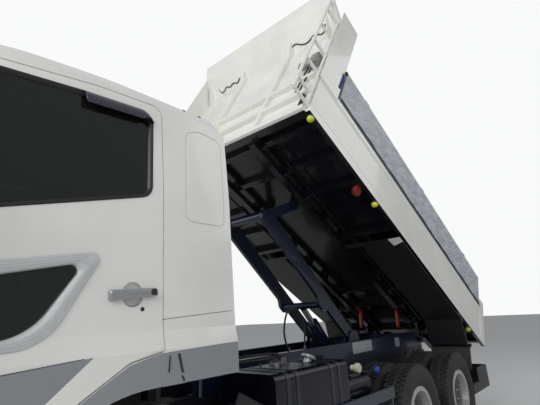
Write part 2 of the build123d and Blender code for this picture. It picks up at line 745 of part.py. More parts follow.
# Exhaust box on the right
with BuildPart() as exhaust_box:
    box((BOGIE + 2200, BOGIE + 2900), (-1120, -600), (560, 1040))
    fillet(exhaust_box.edges(), radius=45)
    bar((BOGIE + 2200, -800, 700), (BOGIE + 2080, -800, 640), 50)
    for x in (2320, 2720):
        box((BOGIE + x, BOGIE + x + 60), (-610, -RAIL_OUT), (820, 900))
exhaust_box.part.label = "exhaust_box"
export_step(exhaust_box.part, "parts/exhaust_box.step")

# Side guards: two rails a side on brackets from the frame
GUARD_RAILS = ((812, 910), (480, 560))
GUARD_POSTS = (BOGIE + 1230, BOGIE + 1940, BOGIE + 2965)
GUARD_POST = 30.0
with BuildPart() as side_guards:
    for z in GUARD_RAILS:
        box((BOGIE + 1240, BOGIE + 3000), (GUARD_Y, GUARD_Y + 25), z)
    for x in GUARD_POSTS:
        post = (x, x + GUARD_POST)
        box(post, (GUARD_Y - GUARD_POST, GUARD_Y), (GUARD_RAILS[1][0], GUARD_RAILS[0][1]))
        box(post, (RAIL_OUT, GUARD_Y - GUARD_POST), (600, 640))
        box(post, (RAIL_OUT, RAIL_OUT + 10), (640, 960))
    mirror(about=Plane.XZ)
side_guards.part.label = "side_guards"
export_step(side_guards.part, "parts/side_guards.step")

# Rear underrun bar with side returns, lamp panels and hangers
HANGER = [
    (BOGIE - 1300, 800, 0),
    (BOGIE - 1300, 1000, 0),
    (RAIL_REAR, 1000, 40),
    (BOGIE - 1900, 560, 40),
    (BOGIE - 1960, 550, 0),
    (BOGIE - 1960, 440, 0),
    (BOGIE - 1860, 440, 60),
]
BAR_REAR = BOGIE - 1995.0
BAR_HALF = 1190.0
BAR_Z = (430.0, 550.0)
PANEL_X = (BAR_REAR + 5, BAR_REAR + 25)
PANEL_TOP = 735.0
with BuildPart() as rear_underrun:
    box((BAR_REAR, BAR_REAR + 35), (-BAR_HALF, BAR_HALF), BAR_Z)
    box((BAR_REAR + 35, BOGIE - 1210), (BAR_HALF - 40, BAR_HALF), BAR_Z)
    box(PANEL_X, (700, BAR_HALF), (BAR_Z[1], PANEL_TOP))
    box((BAR_REAR + 20, BOGIE - 1500), (BAR_HALF - 15, BAR_HALF), (BAR_Z[1], PANEL_TOP))
    prism(side(RAIL_OUT + 16), HANGER, 16)
    mirror(about=Plane.XZ)
rear_underrun.part.label = "rear_underrun"
export_step(rear_underrun.part, "parts/rear_underrun.step")

# Front bumper with side returns, two steps a side and brackets to the frame
BUMPER_FRONT = BOGIE + 5400.0
TOW_X = BUMPER_FRONT + 45
TOW_R = 18.0
STEP_X = (BOGIE + 4640, BOGIE + 4960)
BUMPER_Z = (400.0, 930.0)
STEPS = (430, 700)
STEP_THICK = 20.0
LAMP_Z = (640.0, 800.0)
LAMP_Y = (840.0, 950.0, 1060.0)
TOW_PLATES = (480, 560)
TOW_HALF = 45.0
with BuildPart() as front_bumper:
    prism(Plane.XY.offset(BUMPER_Z[0]), [
        (BUMPER_FRONT, 0, 0),
        (BUMPER_FRONT, 960, 90),
        (BUMPER_FRONT - 120, 1190, 90),
        (BOGIE + 4620, 1190, 0),
        (BOGIE + 4620, 1165, 0),
        (BUMPER_FRONT - 135, 1165, 70),
        (BUMPER_FRONT - 60, 930, 70),
        (BUMPER_FRONT - 60, 0, 0),
    ], BUMPER_Z[1] - BUMPER_Z[0])
    box((STEP_X[0] - 20, STEP_X[0] - 5), (900, 1165), BUMPER_Z)
    for z in STEPS:
        box((STEP_X[0] + 10, STEP_X[1] - 10), (1100, 1200), (z + 25, z + 210), mode=Mode.SUBTRACT)
        box((STEP_X[0] - 5, STEP_X[1] + 20), (980, 1165), (z, z + STEP_THICK))
    box((STEP_X[0] - 5, STEP_X[1] + 35), (960, 980), BUMPER_Z)
    box((STEP_X[1] + 20, STEP_X[1] + 35), (980, 1165), BUMPER_Z)
    box((RAIL_FRONT - 40, BUMPER_FRONT - 60), (350, RAIL_OUT - PLATE), (RAIL_TOP - 200, RAIL_TOP - 140))
    box((BUMPER_FRONT - 80, BUMPER_FRONT - 60), (300, 700), (RAIL_TOP - 400, RAIL_TOP - 140))
    box((BUMPER_FRONT - 90, BUMPER_FRONT + 10), (LAMP_Y[0], LAMP_Y[2]), LAMP_Z, mode=Mode.SUBTRACT)
    box((BUMPER_FRONT - 95, BUMPER_FRONT - 12), (TILT_LUG[0] - 10, TILT_LUG[1] + 10), (840, 931),
        mode=Mode.SUBTRACT)
    mirror(about=Plane.XZ)
    for z in TOW_PLATES:
        box((BUMPER_FRONT - 20, TOW_X + TOW_HALF), (-TOW_HALF, TOW_HALF), (z, z + 20))
    with Locations((TOW_X, 0, 530)):
        Cylinder(radius=TOW_R, height=200, mode=Mode.SUBTRACT)
front_bumper.part.label = "front_bumper"
export_step(front_bumper.part, "parts/front_bumper.step")

# Lamps: head lamps in the bumper, tail lamps on the rear panels
with BuildPart() as lamps:
    box((BUMPER_FRONT - 60, BUMPER_FRONT - 4), LAMP_Y[:2], LAMP_Z)
    box((BUMPER_FRONT - 90, BUMPER_FRONT - 60), (LAMP_Y[0], LAMP_Y[2]), LAMP_Z)
    box((PANEL_X[0] - 20, PANEL_X[0]), (820, 1150), (600, 715))
    mirror(about=Plane.XZ)
lamps.part.label = "lamps"
export_step(lamps.part, "parts/lamps.step")

# Front mudguards: an arch round each wheel with a splash panel behind
GUARD_R = 690.0
GUARD_ANGLES = [radians(t) for t in (22, 90, 152)]
GUARD_SIDE = 1190.0
GUARD_WIDTH = 320.0
STAY_R = 20.0
with BuildPart() as front_mudguards:
    with BuildSketch(side(GUARD_SIDE)):
        with BuildLine():
            outer_r = GUARD_R + PLATE
            arc_out = [(FRONT_AXLE + outer_r * cos(t), AXLE_Z + outer_r * sin(t)) for t in GUARD_ANGLES]
            arc_in = [(FRONT_AXLE + GUARD_R * cos(t), AXLE_Z + GUARD_R * sin(t)) for t in GUARD_ANGLES]
            ThreePointArc(*arc_out)
            ThreePointArc(*arc_in)
            Line(arc_out[0], arc_in[0])
            Line(arc_out[2], arc_in[2])
        make_face()
    extrude(amount=GUARD_WIDTH)
    prism(side(1200), [
        (BOGIE + 3345, 845, 0),
        (BOGIE + 3352, 875, 0),
        (BOGIE + 3440, 1005, 0),
        (BOGIE + 3340, 1195, 0),
        (BOGIE + 3110, 1075, 20),
        (BOGIE + 3200, 760, 30),
    ], 12)
    prism(side(GUARD_SIDE), [
        (BOGIE + 3345, 845, 0),
        (BOGIE + 3352, 875, 0),
        (BOGIE + 3200, 790, 0),
        (BOGIE + 3125, 1070, 0),
        (BOGIE + 3115, 1066, 0),
        (BOGIE + 3194, 770, 0),
    ], GUARD_WIDTH)
    for x, z in ((BOGIE + 3480, 1000), (BOGIE + 4470, 960)):
        bar((x, RAIL_OUT, z), (x, 900, z), STAY_R)
    mirror(about=Plane.XZ)
front_mudguards.part.label = "front_mudguards"
export_step(front_mudguards.part, "parts/front_mudguards.step")

# Cab shell: hollow body with door, windscreen and window openings and the engine tunnel
SECTION_START = BOGIE + 3000.0
SECTION_RUN = 3000.0
GROOVE_HALF = 4.0
GROOVE_DEPTH = 5.0


def beside(depth):
    """Takes away all that lies deeper than this below the cab's side skin."""
    prism(section(SECTION_START), CAB_CROSS, SECTION_RUN, inset=depth, mode=Mode.SUBTRACT)


def hinge_post(y, z, radius, mode=Mode.ADD):
    """Upright round bar on a door's hinge axis, over a (low, high) range of Z."""
    bar((DOOR_AXIS_X, y, z[0]), (DOOR_AXIS_X, y, z[1]), radius, mode=mode)


with BuildPart() as tunnel:
    box(*TUNNEL)
    add(CAB_SKIN, mode=Mode.INTERSECT)
with BuildPart() as doorway:
    prism(side(1400), DOOR, 2800)
    beside(CAB_WALL)
with BuildPart() as groove:
    prism(side(1400), QUARTER_PANEL, 2800, inset=-GROOVE_HALF)
    prism(side(1400), QUARTER_PANEL, 2800, inset=GROOVE_HALF, mode=Mode.SUBTRACT)
    beside(GROOVE_DEPTH)
with BuildPart() as cab_shell:
    add(CAB_SKIN)
    add(CAB_CAVITY, mode=Mode.SUBTRACT)
    add(tunnel.part)
    x, y, z = TUNNEL
    box((x[0], x[1] - TUNNEL_WALL), (y[0] + TUNNEL_WALL, y[1] - TUNNEL_WALL), (1000, z[1] - TUNNEL_WALL),
        mode=Mode.SUBTRACT)
    add(doorway.part, mode=Mode.SUBTRACT)
    add(groove.part, mode=Mode.SUBTRACT)
    prism(section(BOGIE + 4960), WINDSCREEN, 500, mode=Mode.SUBTRACT)
    prism(section(CAB_REAR - 10), REAR_WINDOW, 100, mode=Mode.SUBTRACT)
    for s in (1, -1):
        for z in DOOR_HINGES:
            hinge_post(s * DOOR_AXIS_Y, (z + 20, z + 100), KNUCKLE_R + GAP, mode=Mode.SUBTRACT)
            hinge_post(s * DOOR_AXIS_Y, (z, z + 120), DOOR_PIN_R)
            hinge_post(s * DOOR_AXIS_Y, (z, z + 20), KNUCKLE_R)
            hinge_post(s * DOOR_AXIS_Y, (z + 100, z + 120), KNUCKLE_R)
        low, high = sorted((s * TILT_LUG[0], s * TILT_LUG[1]))
        prism(side(high), [
            (TILT_X - 40, TILT_Z - 40, 39),
            (TILT_X + 40, TILT_Z - 40, 39),
            (TILT_X + 30, CAB_LOW + 1, 0),
            (TILT_X - 120, CAB_LOW + 1, 0),
        ], high - low)
        cross_bar(TILT_X, TILT_Z, (low, high), TILT_PIN_R + FIT, mode=Mode.SUBTRACT)
cab_shell.part.label = "cab_shell"
export_step(cab_shell.part, "parts/cab_shell.step")

# Fixed glass: windscreen and rear window
with BuildPart() as cab_glass:
    prism(section(BOGIE + 4960), WINDSCREEN, 500)
    prism(section(CAB_REAR - 10), REAR_WINDOW, 100)
    add(cab_body(GLASS_OUT), mode=Mode.INTERSECT)
    add(cab_body(GLASS_IN), mode=Mode.SUBTRACT)
cab_glass.part.label = "cab_glass"
export_step(cab_glass.part, "parts/cab_glass.step")

# Grey trim: lower strip behind each door and the front grille
STRIP = [
    (CAB_REAR + 4, 1346, 6),
    (BOGIE + 3884, 1332, 6),
    (BOGIE + 3884, 1474, 6),
    (CAB_REAR + 4, 1490, 6),
]
GRILLE = [
    (-820, 1180, 60),
    (820, 1180, 60),
    (900, 1760, 80),
    (-900, 1760, 80),
]
with BuildPart() as cab_trim:
    prism(side(1300), STRIP, 2600)
    prism(section(BOGIE + 5300), GRILLE, 300)
    add(CAB_PROUD, mode=Mode.INTERSECT)
    add(CAB_SKIN, mode=Mode.SUBTRACT)
cab_trim.part.label = "cab_trim"
export_step(cab_trim.part, "parts/cab_trim.step")

# Doors: slices of the same body, with their windows cut, their glass and their trim
DOOR_TRIM = [
    (BOGIE + 3900, 1496, 10),
    (BOGIE + 4084, 1450, 80),
    (BOGIE + 4322, 1312, 80),
    (BOGIE + 4486, 1120, 10),
    (DOOR_FRONT - 60, 1120, 30),
    (DOOR_FRONT - 60, 1440, 30),
    (BOGIE + 4640, 1462, 60),
    (BOGIE + 4288, 1490, 60),
    (BOGIE + 3900, 1520, 10),
]
HANDLE = [
    (BOGIE + 3925, 1769, 12),
    (BOGIE + 4198, 1745, 12),
    (BOGIE + 4200, 1799, 12),
    (BOGIE + 3932, 1814, 12),
]
HANDLE_CUP = (BOGIE + 4065.0, 1782.0)
CUP_R = 60.0
CUP_FLOOR = 1157.0
for label, outer, s in (("left", 1400, 1), ("right", -700, -1)):
    with BuildPart() as frame:
        prism(side(outer), DOOR, 700, inset=DOOR_STEP)
        beside(DOOR_DEPTH)
    with BuildPart() as door:
        prism(side(outer), DOOR, 700, inset=GAP)
        beside(DOOR_SKIN)
        add(frame.part)
        add(CAB_SKIN, mode=Mode.INTERSECT)
        for window in (UPPER_WINDOW, LOWER_WINDOW):
            prism(side(outer), window, 700, mode=Mode.SUBTRACT)
        cross_bar(*HANDLE_CUP, sorted((s * CUP_FLOOR, s * CAB_HALF)), CUP_R, mode=Mode.SUBTRACT)
        for z in DOOR_HINGES:
            for low in (z - 5, z + 95):
                hinge_post(s * DOOR_AXIS_Y, (low, low + 30), KNUCKLE_R + GAP, mode=Mode.SUBTRACT)
            hinge_post(s * DOOR_AXIS_Y, (z + 25, z + 95), KNUCKLE_R)
            hinge_post(s * DOOR_AXIS_Y, (z + 24, z + 96), DOOR_PIN_R + FIT, mode=Mode.SUBTRACT)
    door.part.label = f"door_{label}"
    export_step(door.part, f"parts/door_{label}.step")
    with BuildPart() as door_glass:
        for window in (UPPER_WINDOW, LOWER_WINDOW):
            prism(side(outer), window, 700)
        add(cab_body(GLASS_OUT), mode=Mode.INTERSECT)
        add(cab_body(GLASS_IN), mode=Mode.SUBTRACT)
    door_glass.part.label = f"door_glass_{label}"
    export_step(door_glass.part, f"parts/door_glass_{label}.step")
    with BuildPart() as door_trim:
        prism(side(outer), DOOR_TRIM, 700)
        prism(side(outer), HANDLE, 700)
        beside(0)
        add(CAB_PROUD, mode=Mode.INTERSECT)
    door_trim.part.label = f"door_trim_{label}"
    export_step(door_trim.part, f"parts/door_trim_{label}.step")

# Cab interior: two seats, dashboard and steering wheel, on the cab floor
SEAT_BACK = [
    (BOGIE + 3780, 1700, 30),
    (BOGIE + 4300, 1700, 50),
    (BOGIE + 4300, 1830, 50),
    (BOGIE + 3930, 1850, 40),
    (BOGIE + 3800, 2500, 50),
    (BOGIE + 3660, 2480, 50),
]
FLOOR_Z = CAB_FLOOR + CAB_WALL
DASH_HALF = 880.0
WHEEL_CENTRE = (BOGIE + 4790, 680, 1880)
WHEEL_R = 225.0
SPOKES = (90, 210, 330)
with BuildPart() as cab_interior:
    for s in (1, -1):
        low, high = sorted((s * 430, s * 930))
        prism(side(high), SEAT_BACK, high - low)
        box((BOGIE + 3850, BOGIE + 4200), (low + 50, high - 50), (FLOOR_Z, 1700))
    prism(side(DASH_HALF), [
        (BOGIE + 5010, 1500, 40),
        (BOGIE + 5240, 1500, 40),
        (BOGIE + 5200, 1900, 40),
        (BOGIE + 5000, 1880, 60),
    ], 2 * DASH_HALF)
    box((BOGIE + 5080, BOGIE + 5220), (-300, 300), (CAB_LOW + CAB_WALL, 1520))
    bar((BOGIE + 5020, 680, 1700), WHEEL_CENTRE, 25)
    with BuildSketch(Plane(origin=WHEEL_CENTRE, z_dir=(-0.79, 0, 0.62))):
        Circle(WHEEL_R)
        Circle(WHEEL_R - 30, mode=Mode.SUBTRACT)
        Circle(60)
        for angle in SPOKES:
            with Locations(Rotation(0, 0, angle)):
                with Locations((120, 0)):
                    Rectangle(170, 30)
    extrude(amount=25)
cab_interior.part.label = "cab_interior"
export_step(cab_interior.part, "parts/cab_interior.step")

# Mirrors: two heads on a bent arm at each front corner
MIRROR_X = BOGIE + 5180.0
MIRROR_Y = 1270.0
MIRROR_ARM_R = 14.0
MIRROR_HEADS = ((2310, 420), (1990, 170))
with BuildPart() as mirrors:
    for z in (1930, 2560):
        bar((MIRROR_X - 100, 1060, z), (MIRROR_X, MIRROR_Y, z), MIRROR_ARM_R)
    bar((MIRROR_X, MIRROR_Y, 1900), (MIRROR_X, MIRROR_Y, 2590), MIRROR_ARM_R)
    for z, height in MIRROR_HEADS:
        with Locations((MIRROR_X, MIRROR_Y + 5, z)):
            Box(75, 190, height)
    add(CAB_SKIN, mode=Mode.SUBTRACT)
    mirror(about=Plane.XZ)
mirrors.part.label = "mirrors"
export_step(mirrors.part, "parts/mirrors.step")

# Bed floor: plate, cross-members, main sills with hinge ears and the hoist's upper brackets
OUTRIGGERS = [100 + 430 * i for i in range(12)]
with BuildPart() as bed_floor:
    bed_box((0, BED_LENGTH - WALL), (BOARD - BED_HALF, BED_HALF - BOARD), (FLOOR_LOW, FLOOR_TOP))
    for a in OUTRIGGERS:
        if 2000 < a < 4200:
            for y in ((SILL_IN, BED_HALF - BOARD), (BOARD - BED_HALF, -SILL_IN)):
                bed_box((a - 30, a + 30), y, (0, FLOOR_LOW))
        else:
            bed_box((a - 30, a + 30), (BOARD - BED_HALF, BED_HALF - BOARD), (0, FLOOR_LOW))
    for s in (1, -1):
        low, high = sorted((s * SILL_IN, s * SILL_OUT))
        bed_box((0, BED_LENGTH - WALL), (low, high), (SILL_LOW, 0))
        low, high = sorted((s * SILL_OUT, s * (SILL_OUT + 30)))
        prism(bed_side(high), [
            (HINGE_A - 62, HINGE_H - 62, 61),
            (HINGE_A + 62, HINGE_H - 62, 61),
            (HINGE_A + 160, -1, 0),
            (HINGE_A - 160, -1, 0),
        ], high - low)
        cross_bar(HINGE.X, HINGE.Z, (low, high), HINGE_PIN_R + FIT, mode=Mode.SUBTRACT)
        low, high = sorted((s * (LINK_IN - 5), s * (LINK_IN - 35)))
        prism(bed_side(high), [
            (LINK_A - 58, LINK_H - 58, 57),
            (LINK_A + 58, LINK_H - 58, 57),
            (LINK_A + 80, FLOOR_LOW, 0),
            (LINK_A - 80, FLOOR_LOW, 0),
        ], high - low)
bed_floor.part.label = "bed_floor"
export_step(bed_floor.part, "parts/bed_floor.step")

# Side boards with their rear posts and the lugs of the folding covers
BOARD_SECTION = [
    (BED_HALF - BOARD, 0, 0),
    (BED_HALF, 0, 6),
    (BED_HALF, 95, 6),
    (BED_HALF - 12, 112, 10),
    (BED_HALF - 12, 520, 10),
    (BED_HALF, 540, 6),
    (BED_HALF, BOARD_TOP, 6),
    (BED_HALF - BOARD, BOARD_TOP, 0),
]
LUGS = (300, 1700, 3100, 4450)
LUG_R = 12.0
ROD_R = 7.0
gate = bed_point(GATE_A, 0, GATE_H)
leaf = bed_point(0, LEAF_Y, LEAF_H)
with BuildPart() as bed_sides:
    prism(bed_section(100), BOARD_SECTION, BED_LENGTH - 100)
    bed_box((POST_REAR, 100), (BED_HALF - BOARD, BED_HALF), (0, POST_TOP))
    cross_bar(gate.X, gate.Z, (BED_HALF - BOARD, BED_HALF), GATE_PIN_R + FIT, mode=Mode.SUBTRACT)
    for a in LUGS:
        bed_box((a - 15, a + 15), (LEAF_Y - LUG_R, LEAF_Y + LUG_R), (BOARD_TOP, LEAF_H + LUG_R))
        with BuildSketch(bed_section(a - 15)):
            with Locations((LEAF_Y, LEAF_H)):
                Circle(ROD_R + FIT)
        extrude(amount=30, mode=Mode.SUBTRACT)
    mirror(about=Plane.XZ)
bed_sides.part.label = "bed_sides"
export_step(bed_sides.part, "parts/bed_sides.step")

# Front wall: bent up and forward into the hood, with ribs and the far end plate
WALL_RAILS = ((0, 70), (330, 370), (640, 680))
WALL_RIBS = (-430, 450)
RIB_HALF = 25.0
WING_THICK = 20.0
HOOD = [
    (BED_LENGTH - WALL, 0, 0),
    (BED_LENGTH, 0, 0),
    (BED_LENGTH, 1700, 30),
    (BED_LENGTH + 260, 1900, 30),
    (BED_LENGTH + 360, 2110, 0),
    (BED_LENGTH + 318, 2130, 0),
    (BED_LENGTH + 226, 1935, 30),
    (BED_LENGTH - WALL, 1730, 40),
]
WING = [
    (BED_LENGTH, 60, 0),
    (BED_LENGTH + 255, 60, 20),
    (BED_LENGTH + 255, 1894, 0),
    (BED_LENGTH, 1698, 0),
]
with BuildPart() as bed_front:
    prism(bed_side(BED_HALF), HOOD, 2 * BED_HALF)
    wall = (BED_LENGTH - WALL, BED_LENGTH)
    for y in ((BED_HALF - BOARD, BED_HALF), (-BED_HALF, BOARD - BED_HALF)):
        bed_box(wall, y, (0, BOARD_TOP), mode=Mode.SUBTRACT)
    for h in WALL_RAILS:
        bed_box((BED_LENGTH, BED_LENGTH + 25), (BOARD - BED_HALF, BED_HALF - BOARD), h)
    for y in WALL_RIBS:
        bed_box((BED_LENGTH, BED_LENGTH + 30), (y - RIB_HALF, y + RIB_HALF), (680, 1690))
    prism(bed_side(WING_THICK - BED_HALF), WING, WING_THICK)
bed_front.part.label = "bed_front"
export_step(bed_front.part, "parts/bed_front.step")

# Mudguards under the bed floor, bent down behind the rear wheels
MUDGUARD = [
    (700, -322, 0),
    (960, -56, 30),
    (3000, -56, 0),
    (3000, -48, 0),
    (950, -48, 30),
    (655, -318, 0),
]
MUDGUARD_SIDE = 1190.0
MUDGUARD_STAYS = (1390, 2250, 2680)
STAY_HALF = 20.0
with BuildPart() as bed_mudguards:
    prism(bed_side(MUDGUARD_SIDE), MUDGUARD, 540)
    bed_box((2940, 3000), (SILL_OUT, MUDGUARD_SIDE), (-56, -48))
    for a in MUDGUARD_STAYS:
        for y in (720, 1120):
            bed_box((a - STAY_HALF, a + STAY_HALF), (y - STAY_HALF, y + STAY_HALF), (-48, 0))
    mirror(about=Plane.XZ)
bed_mudguards.part.label = "bed_mudguards"
export_step(bed_mudguards.part, "parts/bed_mudguards.step")

# Ladder on the left front corner of the bed
LADDER_Y = 1175.0
TUBE_R = 17.0
LADDER_FOOT = 60.0
RUNGS = [230.0 + 360.0 * i for i in range(5)]
outer_a = BED_LENGTH + 270
inner_a = BED_LENGTH + 45
with BuildPart() as side_ladder:
    bar(bed_point(outer_a, LADDER_Y, LADDER_FOOT), bed_point(outer_a, LADDER_Y, 1880), TUBE_R)
    bar(bed_point(inner_a, LADDER_Y, LADDER_FOOT), bed_point(inner_a, LADDER_Y, 1720), TUBE_R)
    for h in (LADDER_FOOT, *RUNGS):
        bar(bed_point(BED_LENGTH, LADDER_Y, h), bed_point(outer_a, LADDER_Y, h), TUBE_R)
    add(bed_front.part, mode=Mode.SUBTRACT)
side_ladder.part.label = "side_ladder"
export_step(side_ladder.part, "parts/side_ladder.step")

# White end plates beside the wall and the cover drives in front of it
with BuildPart() as cover_drives:
    bed_box((BED_LENGTH - 303, BED_LENGTH + 33), (BED_HALF, BED_HALF + 8), (550, 1990))
    bed_box((BED_LENGTH, BED_LENGTH + 33), (BED_HALF - 140, BED_HALF - 45), (820, 940))
    mirror(about=Plane.XZ)
cover_drives.part.label = "cover_drives"
export_step(cover_drives.part, "parts/cover_drives.step")

# Red safety props and round marker lamps under the bed
PROP_TOP = (1227.0, -1.0)
PROP_END = (1124.0, -249.0)
LAMP_PLACES = (549, 3579, 4918)
LAMP_HALF = 35.0
with BuildPart() as bed_props:
    prism(bed_side(335), [
        (PROP_END[0] - 25, PROP_END[1], 20),
        (PROP_END[0] + 25, PROP_END[1], 20),
        (PROP_TOP[0] + 40, PROP_TOP[1] + 1, 0),
        (PROP_TOP[0] - 40, PROP_TOP[1] + 1, 0),
    ], 35)
    bed_box((PROP_TOP[0] - 40, 1360), (300, SILL_IN), (-20, 0))
    mirror(about=Plane.XZ)
bed_props.part.label = "bed_props"
export_step(bed_props.part, "parts/bed_props.step")

with BuildPart() as marker_lamps:
    for a in LAMP_PLACES:
        bed_box((a - LAMP_HALF, a + LAMP_HALF), (1130, 1170), (-35, -5))
        bed_box((a - 10, a + 10), (1150, 1170), (-5, 0))
    mirror(about=Plane.XZ)
marker_lamps.part.label = "marker_lamps"
export_step(marker_lamps.part, "parts/marker_lamps.step")

# Tailgate hung from pins at the top of the posts
GATE_HALF = 1145.0
GATE_THICK = 50.0
GATE_TUBE_R = 27.0
GATE_PANEL = (120.0, 655.0)
GATE_GROOVES = (-760, 0, 760)
GATE_LUGS = (-900, -300, 300, 900)
with BuildPart() as tailgate:
    bed_box((POST_REAR, POST_REAR + GATE_THICK), (-GATE_HALF, GATE_HALF), (85, 690))
    for y in GATE_GROOVES:
        bed_box((POST_REAR, POST_REAR + 6), (y - 30, y + 30), GATE_PANEL, mode=Mode.SUBTRACT)
    cross_bar(gate.X, gate.Z, (-GATE_HALF, GATE_HALF), GATE_TUBE_R)
    cross_bar(gate.X, gate.Z, (8 - BED_HALF, BED_HALF - 8), GATE_PIN_R)
    for y in GATE_LUGS:
        bed_box((POST_REAR + 5, POST_REAR + 45), (y - 40, y + 40), (690, 715))
tailgate.part.label = "tailgate"
export_step(tailgate.part, "parts/tailgate.step")

# Folding covers: lower leaf on the board's lugs, upper leaf folded against it
FOLD_LUGS = (700, 2375, 4050)
LOWER_LEAF = (1170.0, 1188.0)
UPPER_LEAF = (1128.0, 1146.0)
for label, s in (("left", 1), ("right", -1)):
    with BuildPart() as lower_leaf:
        bed_box((COVER_REAR, COVER_FRONT), LOWER_LEAF, (640, 1170))
        with BuildSketch(bed_section(COVER_REAR)):
            with Locations((LEAF_Y, LEAF_H)):
                Circle(ROD_R)
        extrude(amount=COVER_FRONT - COVER_REAR)
        for a in LUGS[:-1]:
            bed_box((a + 60, a + 1300), (LEAF_Y - 5, LEAF_Y + 5), (LEAF_H, 642))
        with BuildSketch(bed_section(COVER_REAR)):
            with Locations((FOLD_Y, FOLD_H)):
                Circle(ROD_R)
        extrude(amount=COVER_FRONT - COVER_REAR)
        for a in FOLD_LUGS:
            bed_box((a + 60, a + 160), (FOLD_Y - 5, LOWER_LEAF[1]), (1165, FOLD_H))
        if s < 0:
            mirror(about=Plane.XZ, mode=Mode.REPLACE)
    lower_leaf.part.label = f"cover_lower_{label}"
    export_step(lower_leaf.part, f"parts/cover_lower_{label}.step")
    with BuildPart() as upper_leaf:
        bed_box((COVER_REAR, COVER_FRONT), UPPER_LEAF, (630, 1172))
        for a in FOLD_LUGS:
            bed_box((a - 20, a + 20), (UPPER_LEAF[0], FOLD_Y), (1150, 1172))
            with BuildSketch(bed_section(a - 20)):
                with Locations((FOLD_Y, FOLD_H)):
                    Circle(LUG_R)
                with Locations((FOLD_Y - 6, FOLD_H - 10)):
                    Rectangle(12, 30)
            extrude(amount=40)
            with BuildSketch(bed_section(a - 20)):
                with Locations((FOLD_Y, FOLD_H)):
                    Circle(ROD_R + FIT)
            extrude(amount=40, mode=Mode.SUBTRACT)
        if s < 0:
            mirror(about=Plane.XZ, mode=Mode.REPLACE)
    upper_leaf.part.label = f"cover_upper_{label}"
    export_step(upper_leaf.part, f"parts/cover_upper_{label}.step")

# Hoist: lift arms from the base to the top pins, with the ram's crosshead lugs
LIFT_PLANE_X = Vector(cos(radians(LIFT_ANGLE)), 0, sin(radians(LIFT_ANGLE)))
LIFT_PLANE_N = Vector(-sin(radians(LIFT_ANGLE)), 0, cos(radians(LIFT_ANGLE)))


def lift_point(s, n):
    """Point of the lift frame: s along the arm from its lower pin, n square to it."""
    return Vector(LIFT_X, 0, LIFT_Z) + LIFT_PLANE_X * s + LIFT_PLANE_N * n


def lift_side(y):
    """Plane of the lift frame with local (s, n), extruding towards -Y."""
    base = lift_point(0, 0)
    return Plane(origin=(base.X, y, base.Z), x_dir=LIFT_PLANE_X, z_dir=(0, -1, 0))


ARM = [
    (-65, -65, 64),
    (EYE_ALONG - 130, -82, 60),
    (EYE_ALONG - 50, EYE_OFF - 45, 44),
    (EYE_ALONG + 50, EYE_OFF - 45, 44),
    (EYE_ALONG + 130, -86, 60),
    (LIFT_LENGTH + 60, -105, 60),
    (LIFT_LENGTH + 60, 60, 58),
    (LIFT_LENGTH - 150, 90, 80),
    (-65, 65, 64),
]
TOP_TUBE_R = 45.0
top = lift_point(LIFT_LENGTH, 0)
eye = lift_point(EYE_ALONG, EYE_OFF)
with BuildPart() as lift_frame:
    for low, high in ((LIFT_IN, LIFT_OUT), (-LIFT_OUT, -LIFT_IN)):
        prism(lift_side(high), ARM, high - low)
    cross_bar(LIFT_X, LIFT_Z, (-LIFT_OUT, LIFT_OUT), LIFT_PIN_R + FIT, mode=Mode.SUBTRACT)
    cross_bar(top.X, top.Z, (-LIFT_IN, LIFT_IN), LINK_PIN_R)
    cross_bar(top.X, top.Z, (5 - LINK_IN, LINK_IN - 5), TOP_TUBE_R)
lift_frame.part.label = "lift_frame"
export_step(lift_frame.part, "parts/lift_frame.step")

# Tipping links from the top pins to the bed's brackets
link_end = bed_point(LINK_A, 0, LINK_H)
link_run = link_end - top
link_angle = degrees(asin(link_run.Z / link_run.length))
LINK_DIR = Vector(cos(radians(180 - link_angle)), 0, sin(radians(180 - link_angle)))
LINK_TIE_R = 25.0
with BuildPart() as tipping_link:
    for low, high in ((LINK_IN, LINK_OUT), (-LINK_OUT, -LINK_IN)):
        plane = Plane(origin=(top.X, high, top.Z), x_dir=LINK_DIR, z_dir=(0, -1, 0))
        prism(plane, [
            (-60, -60, 59),
            (link_run.length + 55, -55, 54),
            (link_run.length + 55, 55, 54),
            (-60, 60, 59),
        ], high - low)
    cross_bar(top.X, top.Z, (-LINK_OUT, LINK_OUT), LINK_PIN_R + FIT, mode=Mode.SUBTRACT)
    middle = (top + link_end) * 0.5
    cross_bar(middle.X, middle.Z, (-LINK_IN, LINK_IN), LINK_TIE_R)
tipping_link.part.label = "tipping_link"
export_step(tipping_link.part, "parts/tipping_link.step")

# Ram: barrel on the base pin, rod with its crosshead between the arms
ram_foot = Vector(RAM_X, 0, RAM_Z)
ram_run = eye - ram_foot
ram_dir = ram_run.normalized()
BARREL_R = 75.0
ROD_RADIUS = 38.0
BARREL_LENGTH = 560.0
BORE_DEPTH = 480.0
FOOT_EYE_R = 52.0
CROSSHEAD_R = 40.0
with BuildPart() as hoist_barrel:
    cross_bar(ram_foot.X, ram_foot.Z, (-55, 55), FOOT_EYE_R)
    barrel_start = ram_foot + ram_dir * 45
    barrel_end = ram_foot + ram_dir * BARREL_LENGTH
    bar(tuple(barrel_start), tuple(barrel_end), BARREL_R)
    bore_start = ram_foot + ram_dir * (BARREL_LENGTH - BORE_DEPTH)
    bar(tuple(bore_start), tuple(barrel_end), ROD_RADIUS + FIT, mode=Mode.SUBTRACT)
    cross_bar(ram_foot.X, ram_foot.Z, (-80, 80), RAM_PIN_R + FIT, mode=Mode.SUBTRACT)
hoist_barrel.part.label = "hoist_barrel"
export_step(hoist_barrel.part, "parts/hoist_barrel.step")

